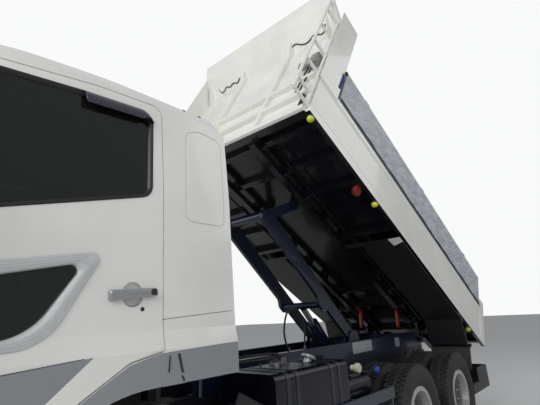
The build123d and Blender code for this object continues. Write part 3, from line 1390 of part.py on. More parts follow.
ROD_INSIDE = 300.0
with BuildPart() as hoist_rod:
    rod_start = ram_foot + ram_dir * (BARREL_LENGTH - ROD_INSIDE)
    bar(tuple(rod_start), tuple(eye), ROD_RADIUS)
    cross_bar(eye.X, eye.Z, (10 - LIFT_IN, LIFT_IN - 10), CROSSHEAD_R)
hoist_rod.part.label = "hoist_rod"
export_step(hoist_rod.part, "parts/hoist_rod.step")
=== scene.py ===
import math

import bmesh
import bpy
from mathutils import Matrix, Vector
from mathutils.bvhtree import BVHTree


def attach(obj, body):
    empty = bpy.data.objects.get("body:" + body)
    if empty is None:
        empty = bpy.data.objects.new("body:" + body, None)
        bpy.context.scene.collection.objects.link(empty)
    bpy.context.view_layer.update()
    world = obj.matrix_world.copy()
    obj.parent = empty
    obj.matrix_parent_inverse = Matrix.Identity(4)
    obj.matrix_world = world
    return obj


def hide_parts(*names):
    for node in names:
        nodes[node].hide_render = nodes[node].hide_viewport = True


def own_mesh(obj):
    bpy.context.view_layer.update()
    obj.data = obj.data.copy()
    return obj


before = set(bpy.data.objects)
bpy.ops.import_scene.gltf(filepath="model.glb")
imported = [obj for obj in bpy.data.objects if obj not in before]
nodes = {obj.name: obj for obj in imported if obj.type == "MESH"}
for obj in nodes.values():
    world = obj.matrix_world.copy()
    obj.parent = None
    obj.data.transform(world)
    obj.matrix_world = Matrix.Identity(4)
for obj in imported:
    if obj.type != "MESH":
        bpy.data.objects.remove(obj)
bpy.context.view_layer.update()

# Studio: a plain pale floor under plain soft light from the roof, and the camera
# at the photograph's place beside the cab door, looking up along the truck.
EYE = Vector((3.737, 3.106, 1.636))
YAW, PITCH, ROLL = (math.radians(angle) for angle in (40.8, 15.95, -3.1))
LENS = 26.33
FAR_CLIP = 200
FLOOR_HALF = 60
FLOOR_TONE = (0.74, 0.74, 0.73, 1)
FLOOR_ROUGHNESS = 0.6
SKY_SEEN = (0.95, 0.955, 0.96, 1)
SKY_LIGHT = (0.33, 0.34, 0.355, 1)
LAMPS = (  # place, aimed at, side of the square lamp, watts
    ((6, 9, 8), (0.5, 1, 1.8), 7, 175),
    ((-7, 7, 7.5), (-1, 1, 1.2), 6, 130),
    ((3, -8, 7), (0, -1, 1.5), 6, 190),
    ((8.5, 2, 5.5), (0.8, 0.2, 3.4), 5, 440),
)
UP = Vector((0, 0, 1))


def added(name, data):
    """Puts a new object into the scene."""
    thing = bpy.data.objects.new(name, data)
    bpy.context.scene.collection.objects.link(thing)
    return thing


heading = Vector((-math.cos(YAW), -math.sin(YAW), 0))
forward = heading * math.cos(PITCH) + UP * math.sin(PITCH)
level = forward.cross(UP).normalized()
upright = level.cross(forward)
across = level * math.cos(ROLL) + upright * math.sin(ROLL)
upward = upright * math.cos(ROLL) - level * math.sin(ROLL)
camera = added("camera", bpy.data.cameras.new("camera"))
camera.data.lens = LENS
camera.data.clip_end = FAR_CLIP
looking = Matrix((across, upward, -forward)).transposed().to_4x4()
camera.matrix_world = Matrix.Translation(EYE) @ looking
bpy.context.scene.camera = camera
bpy.context.scene.view_settings.view_transform = "Standard"

for number, (spot, aim, size, watts) in enumerate(LAMPS):
    lamp = added(f"lamp_{number}", bpy.data.lights.new(f"lamp_{number}", "AREA"))
    lamp.data.size = size
    lamp.data.energy = watts
    lamp.location = spot
    lamp.rotation_euler = (Vector(aim) - Vector(spot)).to_track_quat("-Z", "Y").to_euler()

world = bpy.data.worlds.new("studio")
world.use_nodes = True
sky = world.node_tree
rays = sky.nodes.new("ShaderNodeLightPath")
seen = sky.nodes.new("ShaderNodeMath")
seen.operation = "MAXIMUM"
sky.links.new(rays.outputs["Is Camera Ray"], seen.inputs[0])
sky.links.new(rays.outputs["Is Transmission Ray"], seen.inputs[1])
shade = sky.nodes.new("ShaderNodeMix")
shade.data_type = "RGBA"
shade.inputs[6].default_value = SKY_LIGHT
shade.inputs[7].default_value = SKY_SEEN
sky.links.new(seen.outputs[0], shade.inputs[0])
sky.links.new(shade.outputs[2], sky.nodes["Background"].inputs["Color"])
bpy.context.scene.world = world

floor_mesh = bpy.data.meshes.new("floor")
quarters = ((-1, -1), (1, -1), (1, 1), (-1, 1))
floor_mesh.from_pydata([(x * FLOOR_HALF, y * FLOOR_HALF, 0) for x, y in quarters], [], [range(4)])
floor = added("floor", floor_mesh)
paint = bpy.data.materials.new("studio floor")
paint.use_nodes = True
sockets = paint.node_tree.nodes["Principled BSDF"].inputs
sockets["Base Color"].default_value = FLOOR_TONE
sockets["Roughness"].default_value = FLOOR_ROUGHNESS
floor.data.materials.append(paint)


# Cab body: pressed steel in gloss off-white, welded and sprayed, with the doors hung
# in it. It carries a blank pressed panel behind each door and three roof plugs.
class Value:
    """A socket in a node tree. Arithmetic on it adds Math nodes."""

    def __init__(self, graph, socket):
        self.graph = graph
        self.socket = socket

    def maths(self, operation, *terms):
        return self.graph.node("ShaderNodeMath", terms, operation=operation)

    def __add__(self, other):
        return self.maths("ADD", self, other)

    def __sub__(self, other):
        return self.maths("SUBTRACT", self, other)

    def __rsub__(self, other):
        return self.maths("SUBTRACT", other, self)

    def __mul__(self, other):
        return self.maths("MULTIPLY", self, other)

    def __truediv__(self, other):
        return self.maths("DIVIDE", self, other)

    __radd__ = __add__
    __rmul__ = __mul__

    def between(self, low, high):
        """A smooth mask: 0 at low, 1 at high."""
        limits = {"Value": self, "From Min": low, "From Max": high}
        return self.graph.node("ShaderNodeMapRange", limits, interpolation_type="SMOOTHSTEP")


class Graph:
    """A node tree whose nodes all come from one method."""

    def __init__(self, tree):
        self.tree = tree

    def feed(self, socket, value):
        if isinstance(value, Value):
            self.tree.links.new(value.socket, socket)
        elif socket.type == "RGBA" and len(value) == 3:
            socket.default_value = (*value, 1)
        else:
            socket.default_value = value

    def node(self, kind, values=(), output=0, stops=(), **settings):
        """Any node: its settings first, then the values or links of its sockets."""
        node = self.tree.nodes.new(kind)
        for setting, value in settings.items():
            setattr(node, setting, value)
        for number, (position, tone) in enumerate(stops):
            if number > 1:
                node.color_ramp.elements.new(position)
            node.color_ramp.elements[number].position = position
            node.color_ramp.elements[number].color = (*tone, 1)
        for key, value in values.items() if isinstance(values, dict) else enumerate(values):
            self.feed(node.inputs[key], value)
        return Value(self, node.outputs[output])


class Finish(Graph):
    """One material: a Principled shader, fed from the piece's own coordinates."""

    def __init__(self, name, colour, roughness, **sockets):
        self.material = bpy.data.materials.new(name)
        self.material.use_nodes = True
        super().__init__(self.material.node_tree)
        self.shader = self.tree.nodes["Principled BSDF"]
        self.place = self.node("ShaderNodeTexCoord", output="Object")
        self.give("Base Color", colour)
        self.give("Roughness", roughness)
        for socket, value in sockets.items():
            self.give(socket.replace("_", " ").title().replace("Ior", "IOR"), value)

    def give(self, socket, value):
        self.feed(self.shader.inputs[socket], value)

    def axis(self, name):
        return self.node("ShaderNodeSeparateXYZ", [self.place], output=name)

    def slope(self, x, z):
        """How far a point lies along a direction in the truck's upright plane."""
        return self.axis("X") * x + self.axis("Z") * z

    def noise(self, scale, detail=2.0, stretch=(1, 1, 1), roughness=0.5):
        spot = self.node("ShaderNodeVectorMath", [self.place, stretch], operation="MULTIPLY")
        values = {"Vector": spot, "Scale": scale, "Detail": detail, "Roughness": roughness}
        return self.node("ShaderNodeTexNoise", values)

    def mix(self, factor, first, second):
        values = {0: factor, 6: first, 7: second}
        return self.node("ShaderNodeMix", values, output=2, data_type="RGBA")

    def cover(self, mask, tone):
        """Lays a tone over what the base colour shows so far, where a mask is 1."""
        so_far = Value(self, self.shader.inputs["Base Color"].links[0].from_socket)
        self.give("Base Color", self.mix(mask, so_far, tone))

    def bump(self, height, distance):
        self.give("Normal", self.node("ShaderNodeBump", {"Distance": distance, "Height": height}))


ROAD_DUST = (0.3, 0.27, 0.23)


def painted(name, colour, roughness, coat=0.0, dust=0.15, dust_top=1.2, peel=0.0004, **sockets):
    """Sprayed paint: orange peel, faint clouds, and road dust towards the ground."""
    finish = Finish(name, colour, roughness, coat_weight=coat, coat_roughness=0.06, **sockets)
    cloud = finish.noise(1.7, 4)
    fine = finish.noise(38, 5, roughness=0.7)
    low = finish.axis("Z").between(dust_top, 0.15)
    film = low * (cloud * 0.7 + fine * 0.6) * dust
    deep = tuple(0.9 * tone for tone in colour)
    shaded = finish.mix(cloud.between(0.35, 0.75), colour, deep)
    finish.give("Base Color", finish.mix(film.between(0, 0.9), shaded, ROAD_DUST))
    finish.give("Roughness", fine * 0.1 + film * 0.9 + (roughness - 0.05))
    finish.bump(finish.noise(260, 1) + cloud * 2.0, peel)
    return finish


def grained(name, colour, roughness, grain, depth, mottle=None, **sockets):
    """A plain finish with a fine grain, and two tones that drift over it where given."""
    finish = Finish(name, colour, roughness, **sockets)
    finish.bump(finish.noise(*grain), depth)
    if mottle:
        scale, detail, dark, pale = mottle
        finish.give("Base Color", finish.mix(finish.noise(scale, detail), dark, pale))
    return finish


def dress(finish, *names):
    """Gives CAD nodes their finish."""
    for name in names:
        for place in nodes[name].material_slots:
            place.material = finish.material


def piece(name, shape, finish, body, smooth=35, stands_for=()):
    """Puts a finished bmesh into the scene as a piece that rides on a CAD body."""
    mesh = bpy.data.meshes.new(name)
    bmesh.ops.recalc_face_normals(shape, faces=shape.faces)
    shape.to_mesh(mesh)
    shape.free()
    mesh.materials.append(finish.material)
    return settle(added(name, mesh), body, smooth, stands_for)


def settle(thing, body, smooth=35, stands_for=()):
    """Shades a new object and fixes it to the CAD body that carries it."""
    thing.data.shade_smooth()
    thing.data.set_sharp_from_angle(angle=math.radians(smooth))
    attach(thing, body)
    if stands_for:
        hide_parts(*stands_for)
    return thing


def as_is(x, y, z):
    return Vector((x, y, z))


def on_side(side, level):
    """Place function on an upright plane beside the truck: (x, z, height off it)."""
    return lambda x, z, lift: Vector((x, side * (level + lift), z))


def on_end(side=1, level=0.0, facing=1):
    """Place function on a plane across the truck: (y, z, height off it)."""
    return lambda y, z, lift: Vector((level + facing * lift, side * y, z))


def rounded(corners, steps=5, radius=None):
    """Closed outline of (u, v, radius) corners as points, each corner an arc.

    Where one radius is given, it serves all the corners, and they are (u, v).
    """
    if radius is not None:
        corners = [(*corner, radius) for corner in corners]
    points = []
    for number, (u, v, bend) in enumerate(corners):
        here = Vector((u, v))
        back = (Vector(corners[number - 1][:2]) - here).normalized()
        ahead = (Vector(corners[(number + 1) % len(corners)][:2]) - here).normalized()
        half = back.angle(ahead) / 2
        if bend == 0 or abs(half - math.pi / 2) < 0.01:
            points.append(here)
            continue
        reach = bend / math.tan(half)
        centre = here + (back + ahead).normalized() * (bend / math.sin(half))
        first = here + back * reach - centre
        last = here + ahead * reach - centre
        turn = first.angle_signed(last)
        for step in range(steps + 1):
            swung = first.copy()
            swung.rotate(Matrix.Rotation(-turn * step / steps, 2))
            points.append(centre + swung)
    return points


def oblong(low_u, low_v, high_u, high_v, radius, steps):
    """Outline of a rectangle with rounded corners."""
    corners = ((low_u, low_v), (high_u, low_v), (high_u, high_v), (low_u, high_v))
    return rounded(corners, steps, radius)


def inset(points, width):
    """The same outline, moved inwards by a width (outwards where it is negative)."""
    area = sum(a.x * b.y - a.y * b.x for a, b in zip(points, points[1:] + points[:1]))
    sign = 1 if area > 0 else -1
    moved = []
    for number, here in enumerate(points):
        before = (here - points[number - 1]).normalized()
        after = (points[(number + 1) % len(points)] - here).normalized()
        normal = Vector((-before.y - after.y, before.x + after.x)).normalized()
        scale = max(0.5, normal.dot(Vector((-before.y, before.x))))
        moved.append(here + normal * (sign * width / scale))
    return moved


def ribbed(shape, rings, place=as_is, closed=False):
    """Adds a skin over rings of (u, v, w) points, looped back or capped at its ends."""
    rows = [[shape.verts.new(place(*point)) for point in ring] for ring in rings]
    pairs = list(zip(rows, rows[1:]))
    if closed:
        pairs.append((rows[-1], rows[0]))
    for first, second in pairs:
        for number in range(len(first)):
            after = (number + 1) % len(first)
            shape.faces.new((first[number], first[after], second[after], second[number]))
    if not closed:
        shape.faces.new(rows[0])
        shape.faces.new(rows[-1])


def band(shape, points, outer, inner, profile, place):
    """Adds a closed band that follows an outline: a profile of (share across, height)."""
    rings = []
    for share, height in profile:
        line = inset(points, outer + (inner - outer) * share)
        rings.append([(point.x, point.y, height) for point in line])
    ribbed(shape, rings, place, closed=True)


def slab(shape, points, low, high, place, round_edge=0.0):
    """Adds a plate over a closed outline, between two heights, its upper edge eased."""
    rings = [[(p.x, p.y, low) for p in points], [(p.x, p.y, high - round_edge) for p in points]]
    if round_edge:
        rings.append([(p.x, p.y, high) for p in inset(points, round_edge)])
    ribbed(shape, rings, place)


def lofted(shape, line, outline, overhead=UP):
    """Adds a tube along a line of points; outline gives (side, up) points at a share."""
    rings = []
    for number, here in enumerate(line):
        ahead = (line[min(number + 1, len(line) - 1)] - line[max(number - 1, 0)]).normalized()
        beside = ahead.cross(overhead).normalized()
        over = beside.cross(ahead)
        share = number / (len(line) - 1)
        rings.append([here + beside * u + over * v for u, v in outline(share)])
    ribbed(shape, rings)


def circle(radius, sides=12):
    turns = [math.tau * number / sides for number in range(sides)]
    return [(radius * math.cos(turn), radius * math.sin(turn)) for turn in turns]


def turned(shape, start, along, profile, sides=16):
    """Adds a solid turned about an axis: a profile of (distance along, radius)."""
    along = Vector(along).normalized()
    first = along.orthogonal().normalized()
    second = along.cross(first)
    rings = []
    for distance, radius in profile:
        centre = Vector(start) + along * distance
        section = circle(max(radius, 0.0004), sides)
        rings.append([centre + first * u + second * v for u, v in section])
    ribbed(shape, rings)


def rod(shape, start, end, radius, sides=10):
    """Adds a plain round bar between two points."""
    way = Vector(end) - Vector(start)
    turned(shape, start, way, ((0, radius), (way.length, radius)), sides)


def block(shape, low, high, place=as_is, ease=0.0):
    """Adds a box between two corners, its upright edges eased by a radius."""
    upper_ease = min(ease, (high[2] - low[2]) / 3)
    slab(shape, oblong(*low[:2], *high[:2], ease, 2), low[2], high[2], place, upper_ease)


SIDES = (("left", 1), ("right", -1))
CAB_TONE = (0.8, 0.8, 0.765)
cab_white = painted("cab gloss white", CAB_TONE, 0.3, coat=0.7, dust=0.35)
dress(cab_white, "cab_shell", "door_left", "door_right")
# Dark sealer for seams, plugs and buttons; the same tone is also painted shade in the strip's slits and the
# grille's slots.
seam_dark_and_shade = grained("seam sealer dark", (0.02, 0.02, 0.021), 0.7, (150, 2), 0.001)

GLASS_DEPTH = 0.012
BEYOND_CAB = 9
BEHIND_CAB = 1.8
STEEL_NODES = ("cab_shell", "door_left", "door_right")
GLASS_NODES = ("door_glass_left", "door_glass_right", "cab_glass")
skin_faces = []
skin_points = []
for name in (*STEEL_NODES, *GLASS_NODES):
    start = len(skin_points)
    skin_points += [vertex.co.copy() for vertex in nodes[name].data.vertices]
    skin_faces += [[start + v for v in face.vertices] for face in nodes[name].data.polygons]
steel_count = sum(len(nodes[name].data.polygons) for name in STEEL_NODES)
skin_tree = BVHTree.FromPolygons(skin_points, skin_faces)


def skin_met(start, way, height):
    """Where a ray meets the cab's skin, at a height off the paint; glass lies deeper."""
    way = Vector(way)
    hit, _, face, _ = skin_tree.ray_cast(Vector(start), way)
    return hit - way * (height + (GLASS_DEPTH if face >= steel_count else 0.0))


def skin(side):
    """Place function on the cab's side: (x, z, height off the paint)."""
    return lambda x, z, height: skin_met((x, side * 2, z), (0, -side, 0), height)


def front_skin(y, z, height):
    """Place on the cab's front: (y, z, height off the paint)."""
    return skin_met((BEYOND_CAB, y, z), (-1, 0, 0), height)


def rear_skin(y, z, height):
    """Place on the cab's rear wall: (y, z, height off the paint)."""
    return skin_met((BEHIND_CAB, y, z), (1, 0, 0), height)


PLUG_PLACES = ((2.245, 1.078, 3.04), (2.118, 1.085, 3.035), (2.002, 1.088, 2.99))
PLUG = ((0, 0.012), (0.006, 0.012), (0.009, 0.008), (0.01, 0))
WELD_LINE = (Vector((2.452, 1.646)), Vector((1.937, 1.68)))
WELD_BEAD = ((-0.0025, -0.002), (-0.0012, 0.0007), (0.0012, 0.0007), (0.0025, -0.002))
plugs = bmesh.new()
weld_seams = bmesh.new()
for side in (1, -1):
    for x, y, z in PLUG_PLACES:
        spot, out, _, _ = skin_tree.find_nearest(Vector((x, side * y, z)))
        turned(plugs, spot - out * 0.004, out, PLUG, 12)
    line = [WELD_LINE[0].lerp(WELD_LINE[1], step / 12) for step in range(13)]
    ribbed(weld_seams, [[(p.x, p.y + up, lift) for up, lift in WELD_BEAD] for p in line], skin(side))
piece("cab_roof_plugs", plugs, seam_dark_and_shade, "cab")
piece("cab_quarter_seams", weld_seams, seam_dark_and_shade, "cab")


# Window glass: dark tinted safety glass, flat and clean, set back in black rubber
# channels. A gloss black rain visor is taped along the top of each door window.
window_dark = Finish("tinted glass", (0.01, 0.011, 0.01), 0.03, ior=1.5, specular_ior_level=0.6)
window_dark.give("Alpha", 0.8 + window_dark.noise(0.8, 2) * 0.12)
dress(window_dark, *GLASS_NODES)

rubber_black = grained("window rubber", (0.012, 0.012, 0.013), 0.42, (300, 2), 0.0004)
UPPER_WINDOW = ((2.525, 2.34, 0.08), (3.417, 2.112, 0.06), (3.447, 2.826, 0.06),
                (2.927, 2.875, 0.9), (2.512, 2.898, 0.075))
LOWER_WINDOW = ((3.025, 1.556, 0.11), (3.407, 1.542, 0.05), (3.417, 1.886, 0.05), (2.795, 1.988, 0.03))
WINDSCREEN = ((-1.01, 1.985, 0.09), (1.01, 1.985, 0.09), (0.965, 2.8, 0.11), (-0.965, 2.8, 0.11))
CHANNEL = ((0, 0.0005), (0.08, 0.004), (0.35, 0.0055), (0.62, 0.003), (0.85, -0.004),
           (1, -0.0115), (0.5, -0.0125))
for label, side in SIDES:
    channel = bmesh.new()
    band(channel, rounded(UPPER_WINDOW, 7), -0.005, 0.024, CHANNEL, skin(side))
    piece(f"door_window_rubber_{label}", channel, rubber_black, f"door_{label}")
channel = bmesh.new()
band(channel, rounded(WINDSCREEN, 8), -0.006, 0.03, CHANNEL, front_skin)
band(channel, oblong(-0.56, 2.08, 0.56, 2.56, 0.06, 6), -0.006, 0.026, CHANNEL, rear_skin)
piece("cab_glass_rubber", channel, rubber_black, "cab")

visor_black = Finish("visor gloss black", (0.011, 0.01, 0.018), 0.07, coat_weight=1.0, coat_roughness=0.02)
visor_drift = visor_black.noise(2.5, 2)
visor_black.give("Base Color", visor_black.mix(visor_drift, (0.009, 0.009, 0.012), (0.02, 0.017, 0.038)))
VISOR_DEPTH = 0.074
VISOR_LIFT = ((0, 0.006), (0.12, 0.014), (0.45, 0.024), (0.85, 0.029), (1, 0.028),
              (0.97, 0.0255), (0.5, 0.019), (0.06, 0.004))
VISOR_LOW, VISOR_FRONT, VISOR_BEND = 2.78, 3.39, 2.6
edge = [p for p in rounded(UPPER_WINDOW, 9) if p.y > VISOR_LOW and p.x < VISOR_FRONT]
edge.sort(key=lambda p: (p.x < VISOR_BEND, -p.x if p.x >= VISOR_BEND else -p.y))
for label, side in SIDES:
    rings = []
    for number, point in enumerate(edge):
        ahead = (edge[min(number + 1, len(edge) - 1)] - edge[max(number - 1, 0)]).normalized()
        inward = Vector((-ahead.y, ahead.x))
        share = number / (len(edge) - 1)
        depth = VISOR_DEPTH * min(1, (1.0 - share) * 2.2 + 0.12) * min(1, share * 8 + 0.3)
        rings.append([(*(point + inward * depth * u), lift) for u, lift in VISOR_LIFT])
    visor = bmesh.new()
    ribbed(visor, rings, skin(side))
    piece(f"door_visor_{label}", visor, visor_black, f"door_{label}", 60)

# Lower door window: its bright plastic surround is one moulding, crowned across and
# clipped over the paint, with a rubber lip where it meets the glass. A white steel
# flange fills the door's skin round the cut.
surround_silver = painted("surround satin silver", (0.56, 0.57, 0.575), 0.26, coat=0.5, dust=0.2, peel=0.0002)
SURROUND_OUT = ((3.04, 1.556, 0.24), (3.407, 1.54, 0.05), (3.417, 1.89, 0.05), (2.79, 1.991, 0.035))
SURROUND_IN = ((3.11, 1.596, 0.26), (3.362, 1.584, 0.03), (3.37, 1.832, 0.03), (2.884, 1.93, 0.03))
SURROUND = ((-0.06, 0), (-0.03, 0.006), (0.06, 0.0085), (0.16, 0.0095), (0.18, 0.008),
            (0.2, 0.0095), (0.36, 0.0115), (0.38, 0.0098), (0.4, 0.0115), (0.6, 0.012),
            (0.62, 0.0103), (0.64, 0.0115), (0.86, 0.0075), (0.95, 0.001), (1, -0.0105),
            (0.5, -0.0125))
LIP = ((0.99, -0.0105), (1.03, -0.008), (1.09, -0.0112), (1.03, -0.0125))
outer, inner = rounded(SURROUND_OUT, 12), rounded(SURROUND_IN, 12)
cut, under = inset(rounded(LOWER_WINDOW, 12), -0.0015), inset(outer, 0.006)
flange = [[(*point, height) for point in line]
          for line, height in ((cut, -0.003), (cut, 0.0004), (under, 0.0004), (under, -0.003))]
for label, side in SIDES:
    ring = bmesh.new()
    ribbed(ring, flange, skin(side), closed=True)
    piece(f"door_window_flange_{label}", ring, cab_white, f"door_{label}")
    for name, profile, finish in (("surround", SURROUND, surround_silver), ("lip", LIP, rubber_black)):
        rings = [[(*a.lerp(b, share), height) for a, b in zip(outer, inner)]
                 for share, height in profile]
        ring = bmesh.new()
        ribbed(ring, rings, skin(side), closed=True)
        piece(f"door_lower_{name}_{label}", ring, finish, f"door_{label}")

# Door handles: a satin grey bar with a dark push button at its rear end, set over a
# dished cup pressed in the door, with the lock's barrel below it.
handle_grey = painted("handle satin chrome", (0.36, 0.365, 0.375), 0.24, coat=0.4, dust=0.1,
                      peel=0.0001, metallic=0.55)
HANDLE = ((2.492, 1.769, 0.012), (2.765, 1.745, 0.012), (2.767, 1.799, 0.016), (2.499, 1.814, 0.012))
HANDLE_STEPS = ((0, 0.003), (-0.0005, 0.016), (0.0015, 0.022), (0.006, 0.026), (0.012, 0.0275))
BUTTON = ((2.5, 1.776), (2.538, 1.773), (2.538, 1.806), (2.504, 1.808))
LOCK = (2.575, 1.703)
LOCK_BARREL = ((-0.004, 0.011), (0.003, 0.011), (0.0045, 0.009), (0.0046, 0.003), (0.002, 0.003))
CUP_X, CUP_Z, CUP_RADIUS = 2.632, 1.782, 0.064
for label, side in SIDES:
    surface = skin(side)
    grip = bmesh.new()
    outline = rounded(HANDLE, 6)
    ribbed(grip, [[(*p, height) for p in inset(outline, inwards)] for inwards, height in HANDLE_STEPS],
           surface)
    piece(f"door_grip_{label}", grip, handle_grey, f"door_{label}", 40)
    button = bmesh.new()
    slab(button, rounded(BUTTON, 4, 0.008), 0.02, 0.0305, surface, 0.0015)
    turned(button, surface(*LOCK, 0), (0, side, 0), LOCK_BARREL, 16)
    piece(f"door_button_{label}", button, seam_dark_and_shade, f"door_{label}")
    rim = bmesh.new()
    turns = [math.radians(200 + 7 * number) for number in range(21)]
    line = [surface(CUP_X + CUP_RADIUS * math.cos(t), CUP_Z + CUP_RADIUS * math.sin(t), 0.0005)
            for t in turns]
    lofted(rim, line, lambda share: circle(0.0006 + 0.0035 * math.sin(math.pi * share), 6),
           Vector((0, side, 0)))
    piece(f"door_cup_rim_{label}", rim, handle_grey, f"door_{label}", 60)

# Grey trim: satin plastic strips, the grille and the door's lower garnish, moulded
# with a faint grain and clipped on over the paint, each with a dark shadow gap round it.
TRIM_TONE = (0.27, 0.28, 0.295)
trim_grey = painted("trim satin grey", TRIM_TONE, 0.3, coat=0.35, dust=0.25, peel=0.0002)
dress(trim_grey, "cab_trim")
door_trim = painted("door garnish grey", TRIM_TONE, 0.3, coat=0.4, dust=0.25, peel=0.0002)
CUT_SLOPE = 0.83
GARNISH_TIP = (2.842, 1.482)
past_cut = door_trim.slope(CUT_SLOPE, 1) - (GARNISH_TIP[0] * CUT_SLOPE + GARNISH_TIP[1])
door_trim.cover(past_cut.between(0.001, -0.001), CAB_TONE)
dress(door_trim, "door_trim_left", "door_trim_right")
GARNISH = ((2.842, 1.49, 0.012), (3.268, 1.126, 0.01), (3.457, 1.126, 0.03), (3.457, 1.44, 0.03),
           (3.207, 1.462, 0.06), (2.898, 1.486, 0.06))
STRIP = ((1.916, 1.346), (2.435, 1.334), (2.435, 1.474), (1.916, 1.49))
STRIP_LIP = ((1.918, 1.3135, 0.004), (2.325, 1.3135, 0.004), (2.325, 1.3595, 0.006), (1.918, 1.372, 0.004))
SLIT_SHADES = (  # corners of each dark slab, painted shade for a slit in the strip behind the door
    ((2.4165, 1.459), (2.4215, 1.459), (2.4275, 1.378), (2.4215, 1.378)),
    ((2.356, 1.464), (2.369, 1.464), (2.342, 1.366), (2.331, 1.366)),
    ((2.337, 1.351), (2.3455, 1.351), (2.33, 1.322), (2.322, 1.322)),
)
GAP_LINE = ((0, 0.0008), (0.3, 0.0014), (0.7, 0.0014), (1, -0.001), (0.5, -0.002))
ARCH_TOP = ((2.441, 1.475), (2.471, 1.4755), (2.56, 1.456), (2.648, 1.435), (2.762, 1.3715),
            (2.8795, 1.3045), (2.966, 1.2165), (3.044, 1.126))
ARCH_CENTRE = Vector((2.522, 0.522))
ARCH_EDGE = 0.793
ARCH_START = math.atan2(1.122 - ARCH_CENTRE.y, 3.036 - ARCH_CENTRE.x)
ARCH_END = math.radians(95.8)
CAB_SIDE = 1.204
arch = [Vector(point) for point in ARCH_TOP]
for step in range(13):
    turn = ARCH_START + (ARCH_END - ARCH_START) * step / 12
    arch.append(ARCH_CENTRE + Vector((math.cos(turn), math.sin(turn))) * ARCH_EDGE)
for label, side in SIDES:
    surface, plane = skin(side), on_side(side, CAB_SIDE)
    seam = bmesh.new()
    band(seam, rounded(GARNISH, 5), -0.0035, 0.0005, GAP_LINE, surface)
    piece(f"door_garnish_seam_{label}", seam, seam_dark_and_shade, f"door_{label}")
    moulding = bmesh.new()
    slab(moulding, arch, -0.001, 0.0045, plane, 0.0015)
    slab(moulding, oblong(2.3, 1.311, 2.46, 1.35, 0, 1), -0.001, 0.0043, plane, 0.001)
    slab(moulding, rounded(STRIP_LIP, 3), 0.002, 0.0085, surface, 0.003)
    piece(f"cab_arch_moulding_{label}", moulding, trim_grey, "cab")
    seam = bmesh.new()
    band(seam, rounded(STRIP, 2, 0.006), -0.0015, 0.0005, GAP_LINE, surface)
    # The slits are dark slabs laid on the strip: painted shade in place of the openings.
    for corners in SLIT_SHADES:
        slab(seam, rounded(corners, 2, 0.002), 0.003, 0.0092, surface)
    piece(f"cab_strip_slit_shade_{label}", seam, seam_dark_and_shade, "cab")

# Tyres: black rubber moulded round steel belts and held on the rims by air. The tread
# has a plain rib in the middle and rows of blocks beside it, cut through to the shoulders.
def meshed(thing):
    """The mesh that an object's curve or modifiers give."""
    bpy.context.view_layer.update()
    graph = bpy.context.evaluated_depsgraph_get()
    return bpy.data.meshes.new_from_object(thing.evaluated_get(graph))


class Pattern(Graph):
    """A Geometry Nodes tree with named sizes. It works on marked points and ends as a mesh."""

    SOCKETS = {float: "NodeSocketFloat", int: "NodeSocketInt", tuple: "NodeSocketVector"}

    def __init__(self, name, **sizes):
        super().__init__(bpy.data.node_groups.new(name, "GeometryNodeTree"))
        face = self.tree.interface
        face.new_socket("Points", in_out="INPUT", socket_type="NodeSocketGeometry")
        self.keys = {}
        self.socket("Finish", "NodeSocketMaterial")
        for label, value in sizes.items():
            self.socket(label, self.SOCKETS[type(value)]).default_value = value
        face.new_socket("Mesh", in_out="OUTPUT", socket_type="NodeSocketGeometry")
        self.entry = self.tree.nodes.new("NodeGroupInput")
        self.exit = self.tree.nodes.new("NodeGroupOutput")

    def socket(self, label, kind):
        socket = self.tree.interface.new_socket(label, in_out="INPUT", socket_type=kind)
        self.keys[label] = socket.identifier
        return socket

    def size(self, label):
        return Value(self, self.entry.outputs[label])

    def mark(self, label):
        """A vector that each point carries under a name."""
        return self.node("GeometryNodeInputNamedAttribute", {"Name": label}, data_type="FLOAT_VECTOR")

    def xyz(self, *parts):
        return self.node("ShaderNodeCombineXYZ", parts)

    def moved(self, geometry, **how):
        return self.node("GeometryNodeTransform", {"Geometry": geometry, **how})

    def copied(self, points, shape, rotation, scale=(1, 1, 1)):
        """The same shape at every point."""
        values = {"Points": points, "Instance": shape, "Rotation": rotation, "Scale": scale}
        return self.node("GeometryNodeInstanceOnPoints", values)

    def end(self, geometry):
        real = self.node("GeometryNodeRealizeInstances", [geometry])
        done = self.node("GeometryNodeSetMaterial", {"Geometry": real, "Material": self.size("Finish")})
        self.feed(self.exit.inputs["Mesh"], done)

    def made(self, name, finish, body, slot, rows, marks=(), smooth=35, stands_for=(), **sizes):
        """Runs the tree on rows of (place, mark, mark...) and keeps the mesh as a piece."""
        cloud = bpy.data.meshes.new(name)
        cloud.from_pydata([row[0] for row in rows], [], [])
        for column, label in enumerate(marks):
            carried = cloud.attributes.new(label, "FLOAT_VECTOR", "POINT")
            for number, row in enumerate(rows):
                carried.data[number].vector = row[column + 1]
        thing = added(name, cloud)
        modifier = thing.modifiers.new(name, "NODES")
        modifier.node_group = self.tree
        modifier[self.keys["Finish"]] = finish.material
        for label, value in sizes.items():
            modifier[self.keys[label]] = value
        mesh = meshed(thing)
        thing.modifiers.clear()
        thing.data = mesh
        return settle(thing, body, smooth, stands_for)


